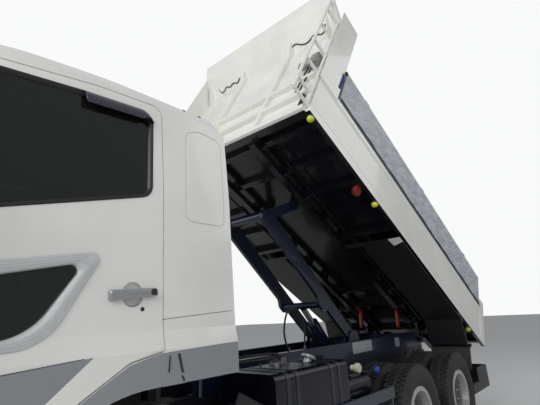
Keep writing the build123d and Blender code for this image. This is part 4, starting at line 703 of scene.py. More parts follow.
AXLES = {"front": 2.522, "middle": -0.778, "rear": -2.088}
TYRE_Y = {"front": (1.03,), "middle": (0.755, 1.085), "rear": (0.755, 1.085)}
AXLE_HEIGHT = 0.522
TYRE_HALF = (  # radius, distance from the tyre's middle: bead, wall with its rings, shoulder
    (0.262, 0.08), (0.29, 0.083), (0.299, 0.092), (0.304, 0.103), (0.314, 0.107), (0.322, 0.106),
    (0.35, 0.121), (0.375, 0.13), (0.398, 0.1345), (0.401, 0.1362), (0.407, 0.1362), (0.41, 0.1345),
    (0.436, 0.1325), (0.439, 0.134), (0.446, 0.1332), (0.449, 0.131), (0.466, 0.124), (0.482, 0.1165),
    (0.497, 0.112), (0.507, 0.106), (0.509, 0.024), (0.52, 0.0215), (0.5215, 0.0195),
)
TREAD_ROWS = (  # distance from the tyre's middle, width of the blocks, turn in pitches
    (0.088, 0.043, 0), (-0.088, 0.043, 0.5), (0.0435, 0.03, 0.5), (-0.0435, 0.03, 0),
)
PITCHES = 54

rubber = Finish("tyre rubber", (0.018, 0.018, 0.019), 0.7)
grit = rubber.noise(55, 6)
patch = rubber.noise(3.0, 3)
tone = rubber.mix(patch.between(0.4, 0.7), (0.014, 0.014, 0.015), (0.026, 0.025, 0.024))
rubber.give("Base Color", rubber.mix(grit.between(0.55, 0.8), tone, (0.06, 0.055, 0.048)))
rubber.give("Roughness", grit * 0.2 + 0.58)
rubber.bump(grit, 0.0015)

TREAD_RADIUS = 0.514
tread = Pattern("tyre tread", Count=PITCHES, Radius=TREAD_RADIUS, Block=(0.04, 1.0, 0.015), Slant=0.008)
turn = tread.node("GeometryNodeInputIndex") * math.tau / tread.size("Count")
out = turn.maths("COSINE", turn) * tread.size("Radius")
up = turn.maths("SINE", turn) * tread.size("Radius")
spots = tread.node("GeometryNodePoints", {"Count": tread.size("Count"), "Position": tread.xyz(out, 0.0, up)})
lean = tread.node("FunctionNodeEulerToRotation", [tread.xyz(0, math.pi / 2 - turn, 0)])
cube = tread.node("GeometryNodeMeshCube", {"Size": tread.size("Block")})
cube = tread.moved(cube, Rotation=tread.xyz(0, 0.0, tread.size("Slant")))
ring = tread.copied(spots, cube, lean)
rolled = tread.node("FunctionNodeEulerToRotation", [tread.mark("turn")])
tread.end(tread.copied(tread.size("Points"), ring, rolled, tread.mark("spread")))

WHEELS = [(row, axle, side, f"{row}_{label}") for row, axle in AXLES.items() for label, side in SIDES]
CARCASS_STEPS = 96
turns = [math.tau * step / CARCASS_STEPS for step in range(CARCASS_STEPS)]
for row, axle, side, wheel in WHEELS:
    carcass = bmesh.new()
    blocks = []
    for middle in TYRE_Y[row]:
        outline = [(r, side * middle + y) for r, y in TYRE_HALF]
        outline += [(r, side * middle - y) for r, y in TYRE_HALF[::-1]]
        rings = [[(axle + r * math.cos(turn), y, AXLE_HEIGHT + r * math.sin(turn)) for r, y in outline]
                 for turn in turns]
        ribbed(carcass, rings, closed=True)
        for offset, width, share in TREAD_ROWS:
            hub = (axle, side * middle + offset, AXLE_HEIGHT)
            blocks.append((hub, (0, math.tau * share / PITCHES, 0), (1, width, 1)))
    piece(f"tyre_carcass_{wheel}", carcass, rubber, f"wheel_{wheel}", 30, (f"tyre_{wheel}",))
    tread.made(f"tyre_tread_{wheel}", rubber, f"wheel_{wheel}", "tyre_rubber", blocks, ("turn", "spread"))

# Wheels: silver-painted steel discs on hubs, each held by eight nuts with washers. The
# driven hubs carry the axle shaft's flange, and each disc has a brass tyre valve.
rim_silver = painted("wheel silver", (0.46, 0.46, 0.47), 0.34, coat=0.3, dust=0.45, metallic=0.55)
dress(rim_silver, *(f"rim_{wheel}" for *_, wheel in WHEELS))
nut_steel = painted("nut zinc", (0.3, 0.3, 0.31), 0.38, dust=0.4, metallic=0.8)
hub_black = painted("hub black", (0.025, 0.026, 0.03), 0.45, dust=0.5)
valve_brass = grained("valve brass", (0.55, 0.4, 0.16), 0.3, (400, 1), 0.0002, metallic=1.0)

WASHER, WASHER_LIFT = 0.26, 0.12
fastener = Pattern("hex fastener", Size=0.012, Height=0.8, Washer=1.45, Seed=7)


def disc(sides, radius, depth, lift=None):
    """A round or hexagonal plate of the fastener, in units of its size."""
    values = {"Vertices": sides, "Radius": radius, "Depth": depth}
    plate = fastener.node("GeometryNodeMeshCylinder", values)
    return plate if lift is None else fastener.moved(plate, Translation=fastener.xyz(0, 0.0, lift))


height = fastener.size("Height")
whole = fastener.node("GeometryNodeJoinGeometry", [disc(6, 1.0, height, height / 2 + WASHER_LIFT)])
for part in (disc(12, fastener.size("Washer"), WASHER), disc(8, 0.52, 0.5, height + WASHER_LIFT)):
    fastener.tree.links.new(part.socket, whole.socket.node.inputs[0])
faced = fastener.node("FunctionNodeAlignRotationToVector", {"Vector": fastener.mark("facing")}, axis="Z")
twist = {"Max": math.tau / 6, "Seed": fastener.size("Seed")}
twist = fastener.node("FunctionNodeRandomValue", twist, output=1, data_type="FLOAT")
twist = fastener.node("FunctionNodeAxisAngleToRotation", {"Axis": (0, 0, 1), "Angle": twist})
faced = fastener.node("FunctionNodeRotateRotation", {"Rotation": faced, "Rotate By": twist},
                      rotation_space="LOCAL")
fastener.end(fastener.copied(fastener.size("Points"), whole, faced, fastener.size("Size")))


def bolts(name, finish, body, slot, rows, size, height=0.8):
    """Puts a nut or bolt head of a size at each (place, facing) row."""
    fastener.made(name, finish, body, slot, rows, ("facing",), Size=size, Height=height)


NUT_COUNT = 8
NUT_RING, NUT_SIZE = 0.131, 0.0165
FLANGE_RING, FLANGE_BOLT = 0.068, 0.008
FACES = {"front": 1.128, "middle": 0.932, "rear": 0.932}
HUBS = {  # distance of each step from the truck's middle line, and its radius
    "front": ((1.128, 0.092), (1.15, 0.09), (1.158, 0.074), (1.176, 0.07), (1.184, 0.058), (1.186, 0)),
    "middle": ((1.118, 0.09), (1.134, 0.09), (1.138, 0.084), (1.139, 0.046), (1.152, 0.043), (1.156, 0)),
}
HUBS["rear"] = HUBS["middle"]
VALVE = ((0, 0.007), (0.012, 0.007), (0.014, 0.0045), (0.05, 0.004), (0.052, 0.0055),
         (0.064, 0.0055), (0.066, 0.003))


def ring_of(axle, side, radius, face, start=0.0):
    """A ring of fasteners on a wheel's face, the first one turned by a share of a pitch."""
    turns = [math.tau * (number + start) / NUT_COUNT for number in range(NUT_COUNT)]
    return [((axle + radius * math.cos(turn), side * face, AXLE_HEIGHT + radius * math.sin(turn)),
             (0, side, 0)) for turn in turns]


for row, axle, side, wheel in WHEELS:
    body = f"wheel_{wheel}"
    nuts = ring_of(axle, side, NUT_RING, FACES[row], 0.5)
    bolts(f"wheel_nuts_{wheel}", nut_steel, body, "rim_silver", nuts, NUT_SIZE, 1.2)
    if row != "front":
        heads = ring_of(axle, side, FLANGE_RING, HUBS[row][2][0])
        bolts(f"hub_bolts_{wheel}", nut_steel, body, "rim_silver", heads, FLANGE_BOLT)
    hub = bmesh.new()
    turned(hub, (axle, 0, AXLE_HEIGHT), (0, side, 0), HUBS[row], 32)
    piece(f"hub_cap_{wheel}", hub, rim_silver if row == "front" else hub_black, body)
    valve = bmesh.new()
    root = Vector((axle + 0.185, side * (FACES[row] - 0.004), AXLE_HEIGHT + 0.02))
    turned(valve, root, (0.35, side, 0.03), VALVE, 10)
    piece(f"tyre_valve_{wheel}", valve, valve_brass, body)

# Bed shell: welded steel plate sprayed gloss cream, black below the floor line. The
# front wall is stiffened by three rails and two upright ribs that run up under the hood.
TIP = math.radians(30)
BED_CORNER = Vector((-3.464, 0, 1.014))
BED_ALONG = Vector((math.cos(TIP), 0, math.sin(TIP)))
BED_ABOVE = Vector((-math.sin(TIP), 0, math.cos(TIP)))
BED_LENGTH = 5.004
BED_HALF = 1.2


def on_bed(a, y, h):
    """Place on the raised bed: along it, across it, square to its floor."""
    return BED_CORNER + BED_ALONG * a + BED_ABOVE * h + Vector((0, y, 0))


def on_wall(a, y, h):
    """Place on the raised bed, ahead of its front wall."""
    return on_bed(BED_LENGTH + a, y, h)


def on_board(side, level):
    """Place function on a side of the bed: (along, up, height off it)."""
    return lambda a, h, lift: on_bed(a, side * (level + lift), h)


def bar_across(shape, outline, middle, half, place=on_bed):
    """Adds a bar across the truck, with an outline of (along, up) points."""
    ribbed(shape, [[(p.x, y, p.y) for p in outline] for y in (middle - half, middle + half)], place)


UNDER_TONE = (0.007, 0.007, 0.009)
FLOOR_LINE = BED_CORNER.dot(BED_ABOVE)
bed_white = painted("bed gloss cream", (0.82, 0.82, 0.765), 0.3, coat=0.6, dust=0.3, dust_top=1.6)
above_floor = bed_white.slope(-math.sin(TIP), math.cos(TIP)) - FLOOR_LINE
bed_white.cover(above_floor.between(0.0018, 0.0008), UNDER_TONE)
dress(bed_white, "bed_front", "bed_sides", "tailgate", "side_ladder", "cover_drives")

WALL_RAILS = ((0.002, 0.072), (0.326, 0.376), (0.636, 0.684))
RAIL_DEPTH = 0.062
WALL_RIB = ((-0.002, 0.03, 0), (0.055, 0.03, 0.006), (0.055, 1.52, 0.2), (0.14, 1.804, 0.01),
            (-0.002, 1.695, 0))
ribs = bmesh.new()
for low, high in WALL_RAILS:
    rail = ((-0.002, low, 0), (RAIL_DEPTH, low, 0.007), (RAIL_DEPTH, high, 0.007), (-0.002, high + 0.012, 0))
    bar_across(ribs, rounded(rail, 4), 0, 1.143, on_wall)
for y in (-0.43, 0.45):
    bar_across(ribs, rounded(WALL_RIB, 4), y, 0.026, on_wall)
piece("bed_wall_rails", ribs, bed_white, "bed", 40)

# Hood: the wall's plate bent forward over the cab, with a folded lip along its edge
# and a gusset at each end.
HOOD_LIP = ((0.352, 2.096, 0.004), (0.359, 2.106, 0.003), (0.322, 2.126, 0.003), (0.312, 2.112, 0.004))
HOOD_GUSSET = ((-0.002, 1.52, 0), (0.014, 1.52, 0.006), (0.205, 1.85, 0.01), (-0.002, 1.697, 0))
hood = bmesh.new()
bar_across(hood, rounded(HOOD_LIP, 3), 0, 1.197, on_wall)
for y in (-1.15, 1.06):
    bar_across(hood, rounded(HOOD_GUSSET, 3), y, 0.003, on_wall)
piece("bed_hood_edges", hood, bed_white, "bed", 40)

# Wiring under the hood: two black sleeved runs to the cover drives, each hung between
# two clips that are screwed to the wall.
sleeve_black = grained("sleeve black", (0.01, 0.01, 0.011), 0.5, (700, 1), 0.0004)


def free_line(name, points, diameter, finish, body, place=as_is, folds=None):
    """Hangs a hose or cable between two fittings on one smooth curve.

    Where folds is given, the hose is kept as a plain mesh of its own; the joint and the height in it are not
    used.
    """
    curve = bpy.data.curves.new(name, "CURVE")
    curve.dimensions = "3D"
    curve.resolution_u = 8
    spline = curve.splines.new("NURBS")
    spline.points.add(len(points) - 1)
    for knot, point in zip(spline.points, points):
        knot.co = (*place(*point), 1)
    spline.order_u = 3
    spline.use_endpoint_u = True
    thing = added(name, curve)
    run = meshed(thing)
    curve.bevel_depth = diameter / 2
    curve.bevel_resolution = 3
    curve.use_fill_caps = True
    curve.materials.append(finish.material)
    if folds:
        solid = meshed(thing)
        bpy.data.objects.remove(thing)
        thing = added(name, solid)
        thing.data.shade_smooth()
    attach(thing, body)
    tuple(place(*points[0]))
    if folds:
        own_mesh(thing)


HOOD_WIRES = (
    ((5.075, -1.0, 1.768), (5.03, -0.97, 1.715), (5.03, -0.9, 1.712), (5.075, -0.83, 1.745),
     (5.04, -0.76, 1.715), (5.075, -0.68, 1.742), (5.036, -0.6, 1.712), (5.09, -0.52, 1.755),
     (5.075, -0.44, 1.745)),
    ((5.03, 0.355, 1.712), (5.065, 0.43, 1.735), (5.095, 0.53, 1.757), (5.04, 0.62, 1.716),
     (5.03, 0.72, 1.708), (5.08, 0.83, 1.742), (5.03, 0.92, 1.708), (5.045, 0.985, 1.722),
     (5.095, 1.005, 1.775)),
)
CLIP = ((0, 0.011), (0.01, 0.012), (0.03, 0.012), (0.034, 0.009))
clips = bmesh.new()
for number, route in enumerate(HOOD_WIRES):
    free_line(f"hood_wire_{number + 1}", route, 0.015, sleeve_black, "bed", on_bed)
    for end in (route[0], route[-1]):
        turned(clips, on_bed(*end) - BED_ABOVE * 0.012, BED_ABOVE, CLIP, 10)
piece("hood_wire_clips", clips, sleeve_black, "bed")

# Side boards: each is one pressed plate with two swages along it and bolted posts,
# hemmed in black rubber where the folding cover shuts down on it.
SEAL_STEPS = 180
SEAL_RUN = 4.52
seal_black = grained("seal rubber", (0.008, 0.008, 0.009), 0.6, (90, 3), 0.001)
boards = bmesh.new()
seals = bmesh.new()
for side in (1, -1):
    for low in (0.118, 0.505):
        swage = oblong(0.1, low, 5.0, low + 0.01, 0.004, 3)
        slab(boards, swage, -0.004, 0.003, on_board(side, BED_HALF - 0.012), 0.002)
    rings = []
    for step in range(SEAL_STEPS + 1):
        a = 0.12 + SEAL_RUN * step / SEAL_STEPS
        wave = 0.0035 * math.sin(a * 9 + side) + 0.0025 * math.sin(a * 23)
        rings.append([(a, 0.5985 - abs(wave) * 0.5, 0), (a, 0.5985, 0.0055),
                      (a, 0.617 + wave * 0.4, 0.0068), (a, 0.6185, 0)])
    ribbed(seals, rings, on_board(side, 1.1895))
piece("bed_board_swages", boards, bed_white, "bed")
piece("bed_cover_seals", seals, seal_black, "bed")
heads = [(tuple(on_bed(a, side * 1.2005, h)), (0, side, 0))
         for side in (1, -1) for a in (-0.02, 0.03) for h in (0.1, 0.3, 0.5)]
bolts("bed_board_bolts", bed_white, "bed", "bed_white", heads, 0.009)

# Ladder: cream tube rungs between two rails, with anti-slip collars and end caps.
LADDER_Y = 1.175
COLLAR = ((0, 0.018), (0.004, 0.0205), (0.04, 0.0205), (0.044, 0.018))
END_CAP = ((0, 0.017), (0.004, 0.017), (0.007, 0.012), (0.008, 0))
collars = bmesh.new()
for a, top in ((0.045, 1.72), (0.27, 1.88)):
    for rung in range(5):
        centre = on_wall(a, LADDER_Y, 0.23 + 0.36 * rung)
        turned(collars, centre - BED_ALONG * 0.022, BED_ALONG, COLLAR, 14)
    turned(collars, on_wall(a, LADDER_Y, top) - BED_ABOVE * 0.004, BED_ABOVE, END_CAP, 14)
piece("side_ladder_collars", collars, bed_white, "bed")

# Cover drives: an electric motor and gearbox each side of the wall, on a bent bracket
# with two guide rods, and a blue pull strap with a black knob on the cover's end plate.
motor_grey = painted("motor grey", (0.3, 0.31, 0.29), 0.45, dust=0.3, metallic=0.3)
strap_blue = grained("strap woven blue", (0.012, 0.028, 0.17), 0.7, (500, 1, (1, 1, 6)), 0.001)
rod_dark = painted("rod dark steel", (0.07, 0.07, 0.068), 0.42, dust=0.3, metallic=0.6)
DRIVE_Y = 1.085
MOTOR = ((0, 0.042), (0.012, 0.047), (0.15, 0.047), (0.156, 0.04), (0.172, 0.034), (0.178, 0.012),
         (0.19, 0.012))
GEAR_COVER = ((0, 0.06), (0.006, 0.06), (0.01, 0.054), (0.012, 0))
GUIDE_ROD = ((0, 0.01), (0.42, 0.01), (0.424, 0.014), (0.44, 0.014))
BRACKET = ((1.03, 0.13), (1.058, 0.13), (1.064, 0.42), (1.028, 0.42))
STRAP = ((4.705, 0.74, 0.004), (4.748, 0.73, 0.004), (4.735, 1.01, 0.01), (4.702, 1.005, 0.01))
PULL_KNOB = ((0, 0.01), (0.012, 0.01), (0.014, 0.024), (0.02, 0.028), (0.03, 0.027), (0.036, 0.02),
             (0.038, 0))
for label, side in SIDES:
    y = side * DRIVE_Y
    drive = bmesh.new()
    block(drive, (0.033, y - 0.055, 0.8), (0.12, y + 0.055, 0.98), on_wall, 0.014)
    turned(drive, on_wall(0.078, side * 1.032, 0.895), (0, -side, 0), MOTOR, 20)
    turned(drive, on_wall(0.11, y, 0.89), BED_ALONG, GEAR_COVER, 20)
    piece(f"cover_motor_{label}", drive, motor_grey, "bed", 40)
    rods = bmesh.new()
    for y in (0.925, 0.985):
        way = BED_ABOVE + Vector((0, side * 0.1, 0))
        turned(rods, on_wall(0.048, side * y, 0.42), way, GUIDE_ROD, 10)
    slab(rods, rounded(BRACKET, 3, 0.01), 0.002, 0.036, lambda y, h, a: on_wall(a, side * y, h), 0.004)
    piece(f"cover_rods_{label}", rods, rod_dark, "bed")
    strap = bmesh.new()
    slab(strap, rounded(STRAP, 3), 0.0, 0.004, on_board(side, 1.2085), 0.0012)
    piece(f"cover_strap_{label}", strap, strap_blue, "bed")
    knob = bmesh.new()
    turned(knob, on_bed(4.705, side * 1.208, 1.035), (0, side, 0), PULL_KNOB, 16)
    piece(f"cover_knob_{label}", knob, sleeve_black, "bed")

# Marker lamps: amber domes under the board's edge on bent tabs, and one round red
# lamp between them, all of moulded plastic with a ribbed lens over a reflector.
lamp_yellow = grained("amber lens", (0.56, 0.6, 0.03), 0.12, (160, 1), 0.003,
                      (30, 2, (0.44, 0.5, 0.015), (0.68, 0.7, 0.06)), coat_weight=1.0)
lamp_red = grained("red lens", (0.12, 0.005, 0.003), 0.2, (120, 1), 0.003,
                   (14, 2, (0.075, 0.003, 0.002), (0.19, 0.012, 0.004)),
                   coat_weight=0.2, specular_ior_level=0.3)
LENS = ((-0.016, 0.034), (0, 0.039), (0.008, 0.04), (0.022, 0.036), (0.033, 0.026), (0.039, 0.012),
        (0.04, 0))
RED_LENS = ((-0.03, 0.06), (0, 0.072), (0.01, 0.074), (0.018, 0.07), (0.034, 0.052), (0.042, 0.028),
            (0.044, 0))
LAMP_Y, RED_LAMP_Y, RED_LAMP_ALONG = 1.15, 1.088, 3.875
domes = bmesh.new()
tabs = bmesh.new()
reds = bmesh.new()
for side in (1, -1):
    y = side * LAMP_Y
    for a in (0.549, 3.579, 4.918):
        turned(domes, on_bed(a, y, -0.002), (0.25, side * 0.35, -1), LENS, 20)
        block(tabs, (a - 0.012, y - 0.024, -0.006), (a + 0.012, y + 0.024, -0.0005), on_bed, 0.003)
    root = on_bed(RED_LAMP_ALONG, side * RED_LAMP_Y, -0.028)
    turned(reds, root, (0.05, side, -0.35), RED_LENS, 28)
    turned(tabs, root + BED_ABOVE * 0.002, BED_ABOVE, ((0, 0.016), (0.026, 0.016)), 12)
piece("marker_lamp_lenses", domes, lamp_yellow, "bed", 50, ("marker_lamps",))
piece("side_lamps_red", reds, lamp_red, "bed", 50)
piece("marker_lamp_tabs", tabs, sleeve_black, "bed")

# Ladder frame, axles and springs: rolled steel channels sprayed satin black, bolted
# through their webs, with dust on every ledge and a row of bolt heads along each rail.
chassis_black = painted("chassis satin black", (0.008, 0.009, 0.014), 0.42, coat=0.1, dust=0.35,
                        dust_top=1.0, specular_ior_level=0.35)
dress(chassis_black, "frame_rails", "springs", "rear_axles", "front_axle", "knuckle_left",
      "knuckle_right", "rear_underrun")
RAIL_BOLTS = range(-285, 360, 28)  # along the truck, in hundredths
heads = [((x / 100, side * 0.4265, z), (0, side, 0))
         for side in (1, -1) for x in RAIL_BOLTS for z in (0.835, 0.995)]
bolts("frame_bolts", chassis_black, "chassis", "chassis_black", heads, 0.0115)
CLAMPS = (  # middle of the spring along the truck, its lower and upper face, its distance out
    (2.522, 0.545, 0.64, 0.415), (-1.433, 0.69, 0.85, 0.525),
)
clamps = bmesh.new()
for side in (1, -1):
    for middle, low, high, y in CLAMPS:
        y *= side
        for x in (middle - 0.085, middle + 0.085):
            for reach in (-0.047, 0.047):
                rod(clamps, (x, y + reach, low - 0.05), (x, y + reach, high + 0.05), 0.009, 8)
            block(clamps, (x - 0.022, y - 0.062, high), (x + 0.022, y + 0.062, high + 0.014), as_is, 0.004)
piece("spring_clamps", clamps, chassis_black, "chassis")
engine_iron = painted("cast iron", (0.12, 0.12, 0.12), 0.6, dust=0.6, dust_top=1.8, peel=0.002, metallic=0.4)
dress(engine_iron, "engine", "driveline")

# Tanks, boxes and guards between the axles: welded black tanks held by steel straps
# over rubber, moulded boxes, and dull blue-grey guard rails on posts.
tank_black = painted("tank gloss black", (0.0035, 0.004, 0.009), 0.26, coat=0.15, dust=0.1,
                     dust_top=0.9, specular_ior_level=0.3)
dress(tank_black, "fuel_tank", "air_tanks", "battery_box", "exhaust_box")
strap_steel = painted("strap steel", (0.045, 0.048, 0.062), 0.35, dust=0.3, metallic=0.6)
dress(strap_steel, "tank_straps")
guard_grey = painted("guard dull grey", (0.05, 0.058, 0.08), 0.45, dust=0.35, dust_top=0.8)
dress(guard_grey, "side_guards")

# Tank fittings: a turned filler cap, hexagon unions on the tank's top, and beside it a
# cream drain valve and a blue knob, both on bent steel stays.
cap_grey = painted("cap grey", (0.4, 0.41, 0.43), 0.34, coat=0.4, dust=0.2, metallic=0.3)
valve_cream = painted("valve cream", (0.62, 0.6, 0.5), 0.4, dust=0.3)
knob_blue = painted("knob blue", (0.015, 0.045, 0.24), 0.3, coat=0.5)
CAP_TILT = (-0.5, 0.1, 1)
CAP = ((0, 0.036), (0.04, 0.036), (0.042, 0.062), (0.048, 0.066), (0.062, 0.066), (0.068, 0.06),
       (0.068, 0.046), (0.063, 0.044), (0.063, 0))
UNION_FOOT = 1.23
UNIONS = ((1.05, 0.7, 0.014), (0.86, 0.69, 0.013), (0.99, 0.76, 0.016), (1.12, 0.79, 0.012),
          (1.09, 0.73, 0.009), (1.18, 0.7, 0.01))
VALVE_BODY = ((0, 0.03), (0.05, 0.03), (0.052, 0.046), (0.085, 0.048), (0.095, 0.04), (0.098, 0))
STAYS = (
    ((-0.01, 0.84, 1.085), (-0.01, 0.425, 1.04)), ((-0.155, 0.9, 1.024), (-0.215, 0.9, 0.836)),
    ((-0.103, 0.9, 1.035), (-0.398, 0.9, 1.012)), ((-0.103, 0.865, 1.035), (-0.398, 0.885, 1.012)),
    ((-0.2, 0.9, 1.02), (-0.2, 0.425, 1)),
)
DRAIN_KNOB = ((-0.012, 0.012), (0, 0.034), (0.02, 0.046), (0.044, 0.044), (0.06, 0.03), (0.066, 0))
cap = bmesh.new()
turned(cap, (0.81, 0.9, 1.222), CAP_TILT, CAP, 32)
piece("tank_cap", cap, cap_grey, "chassis")
fittings = bmesh.new()
for x, y, size in UNIONS:
    profile = ((0, size * 1.6), (0.01, size * 1.6), (0.011, size), (0.02, size), (0.021, size * 0.7),
               (0.026, size * 0.7))
    turned(fittings, (x, y, UNION_FOOT), UP, profile, 6)
piece("tank_fittings", fittings, nut_steel, "chassis")
valve = bmesh.new()
turned(valve, (-0.01, 0.84, 1.085), (0, 1, 0), VALVE_BODY, 20)
rod(valve, (-0.01, 0.9, 1.04), (-0.01, 0.9, 1.13), 0.014, 12)
piece("drain_valve", valve, valve_cream, "chassis")
stays = bmesh.new()
for start, end in STAYS:
    rod(stays, start, end, 0.008)
piece("valve_stays", stays, strap_steel, "chassis")
knob = bmesh.new()
turned(knob, (-0.398, 0.88, 1.012), (-0.2, 1, 0.1), DRAIN_KNOB, 20)
piece("drain_knob", knob, knob_blue, "chassis")
tags = bmesh.new()
for side in (1, -1):
    for corners in ((-2.1, 1.11, -1.96, 1.23), (-1.26, 1.13, -0.77, 1.262)):
        slab(tags, oblong(*corners, 0.006, 3), -0.002, 0.0025, on_side(side, 0.4255), 0.0008)
piece("subframe_tags", tags, cap_grey, "chassis")

# Hoses: black rubber with crimped steel ends. Two run from a bracket on the frame to
# the tank, and one stands up from the subframe to a hoist arm.
for number, drop in enumerate((0, 0.036)):
    route = ((1.56, 0.56, 1.3 - drop), (1.47, 0.64, 1.318 - drop), (1.33, 0.7 + drop, 1.328 - drop),
             (1.18, 0.705 + drop, 1.325 - drop), (1.06, 0.7 + drop, 1.322 - drop),
             (0.95 + drop, 0.705, 1.312), (0.9 + drop, 0.725, 1.262))
    free_line(f"tank_hose_{number + 1}", route, 0.022, sleeve_black, "chassis")
HOIST_HOSE_Y = 0.335
HOIST_HOSE = ((0.354, 1.275), (0.42, 1.39), (0.405, 1.55), (0.33, 1.7), (0.16, 1.7), (0.06, 1.54),
              (0.06, 1.4), (0.08, 1.275))
free_line("hoist_hose", [(x, HOIST_HOSE_Y, z) for x, z in HOIST_HOSE], 0.02, sleeve_black, "chassis",
          folds=("bed_tip", 1.272))
HOSE_FOOT = ((0, 0.013), (0.03, 0.013), (0.032, 0.011), (0.04, 0.011))
HOSE_END = ((0, 0.021), (0.012, 0.021), (0.013, 0.017), (0.045, 0.0165), (0.048, 0.014))
FRAME_WAY = (-1, 0.8, 0.2)
HOSE_ENDS = (((1.59, 0.535, 1.294), FRAME_WAY), ((1.59, 0.535, 1.258), FRAME_WAY),
             ((0.902, 0.726, 1.232), UP), ((0.938, 0.726, 1.232), UP))
ends = bmesh.new()
for x in (0.352, 0.08):
    turned(ends, (x, HOIST_HOSE_Y, 1.262), UP, HOSE_FOOT, 6)
for spot, way in HOSE_ENDS:
    turned(ends, spot, way, HOSE_END, 12)
block(ends, (1.575, 0.425, 1.232), (1.61, 0.545, 1.322), as_is, 0.006)
block(ends, (1.577, 0.4255, 1.05), (1.607, 0.437, 1.3), as_is, 0.003)
piece("hose_ends", ends, nut_steel, "chassis")

# Hoist and subframe: flame-cut plate and tube, welded and sprayed glossy navy, turning
# on greased pins that are held by bolted keeper plates; the rod is ground hard chrome.
NAVY_TONE = (0.006, 0.01, 0.028)
CHROME_TONE = (0.62, 0.63, 0.65)
ROD_SLOPE, ROD_FOOT = Vector((0.68, 0.733)), Vector((-0.935, 1.113))
hoist_navy = painted("hoist navy", NAVY_TONE, 0.3, coat=0.35, dust=0.12, dust_top=1.2)
dress(hoist_navy, "subframe", "lift_frame", "tipping_link", "hoist_barrel")
chrome_rod = Finish("hard chrome", CHROME_TONE, 0.12, metallic=1.0)
chrome_rod.give("Roughness", chrome_rod.noise(90, 2, (1, 8, 1)) * 0.15 + 0.06)
crosshead = (chrome_rod.slope(*ROD_SLOPE) - ROD_SLOPE.dot(ROD_FOOT)).between(0.792, 0.794)
chrome_rod.give("Base Color", chrome_rod.mix(crosshead, CHROME_TONE, NAVY_TONE))
chrome_rod.give("Metallic", 1 - crosshead)
dress(chrome_rod, "hoist_rod")
HINGE_X, HINGE_Y, HINGE_Z = -2.836, 0.472, 1.18
KEEPER = ((-0.004, 0.04), (0.006, 0.04), (0.01, 0.036), (0.012, 0.006), (0.022, 0.005))
keepers = bmesh.new()
heads = []
for side in (1, -1):
    turned(keepers, (HINGE_X, side * HINGE_Y, HINGE_Z), (0, side, 0), KEEPER, 20)
    heads += [((HINGE_X + way * 0.026, side * (HINGE_Y + 0.006), HINGE_Z + way * 0.012), (0, side, 0))
              for way in (1, -1)]
piece("hoist_pin_keepers", keepers, hoist_navy, "chassis")
bolts("hoist_keeper_bolts", nut_steel, "chassis", "hoist_navy", heads, 0.007)

# Bed underside: cross-members and sills welded under the floor plate and sprayed
# glossy black, with triangular gussets, a wiring conduit in clips and a blank tag.
FLOOR_THICK = 0.079
bed_black = painted("underbody gloss black", (0.005, 0.005, 0.007), 0.22, coat=0.35, dust=0.1,
                    dust_top=1.6, specular_ior_level=0.35)
above_floor = bed_black.slope(-math.sin(TIP), math.cos(TIP)) - FLOOR_LINE
deck = above_floor.between(FLOOR_THICK - 0.0005, FLOOR_THICK + 0.0005)
scuffs = bed_black.noise(9, 6, (0.35, 2.5, 0.35), 0.65).between(0.3, 0.75)
bed_black.cover(deck, bed_black.mix(scuffs, (0.52, 0.52, 0.48), (0.38, 0.375, 0.36)))
dress(bed_black, "bed_floor")
TAG = ((2.992, 1.03), (2.997, 1.187), (2.905, 1.187), (2.85, 1.05))
GUSSET = ((0.43, -0.058), (0.52, 0.001), (0.43, 0.001))
HINGE_ALONG = 0.627
gussets = bmesh.new()
for side in (1, -1):
    for a in (0.1 + 0.43 * number for number in range(12)):
        if abs(a - HINGE_ALONG) > 0.2:
            ribbed(gussets, [[(a + shift, side * y, h) for y, h in GUSSET] for shift in (-0.004, 0.004)],
                   on_bed)
    conduit = [on_bed(0.9 + 0.25 * k, side * (0.56 + 0.006 * math.sin(k)), -0.014) for k in range(16)]
    lofted(gussets, conduit, lambda share: circle(0.011, 8), Vector((0, side, 0)))
piece("bed_gussets", gussets, bed_black, "bed")
tag = bmesh.new()
slab(tag, rounded(TAG, 3, 0.006), -0.001, 0.003, lambda a, y, lift: on_bed(a, y, -0.056 - lift), 0.001)
piece("bed_side_tag", tag, cab_white, "bed")

# Folding covers: light pressed leaves faced with pale blue-grey coated fabric that
# lies in soft wrinkles, edged with black rubber where they meet the board.
cover_grey = painted("cover coated fabric", (0.46, 0.48, 0.52), 0.46, coat=0.1, dust=0.1)
crease = cover_grey.noise(3.2, 4, (1.2, 1, 3.2))
ripple = cover_grey.noise(11, 3, (0.6, 1, 2.0))
wrinkle_shade = crease.between(0.35, 0.65)
# Painted shade: the fabric is coloured darker along the same crease noise that shapes its wrinkles.
cover_grey.give("Base Color", cover_grey.mix(wrinkle_shade, (0.54, 0.555, 0.58), (0.43, 0.46, 0.515)))
cover_grey.bump(crease * 2.4 + ripple * 0.5 + cover_grey.noise(420, 1) * 0.01, 0.03)
dress(cover_grey, "cover_lower_left", "cover_lower_right", "cover_upper_left", "cover_upper_right")
for label, side in SIDES:
    hem = bmesh.new()
    rings = []
    for step in range(SEAL_STEPS + 1):
        a = 0.115 + SEAL_RUN * step / SEAL_STEPS
        wave = 0.006 * math.sin(a * 8 + side) + 0.004 * math.sin(a * 21 + 1)
        rings.append([(a, 0.6425, 0), (a, 0.6425, 0.002), (a, 0.686 + wave, 0.003), (a, 0.689 + wave, 0)])
    ribbed(hem, rings, on_board(side, 1.1885))
    piece(f"cover_hem_{label}", hem, seal_black, f"cover_lower_{label}")

# Bed props: red welded stops under the sill that hold the bed up for service.
prop_red = painted("prop red", (0.26, 0.02, 0.01), 0.35, coat=0.4, dust=0.3)
dress(prop_red, "bed_props")

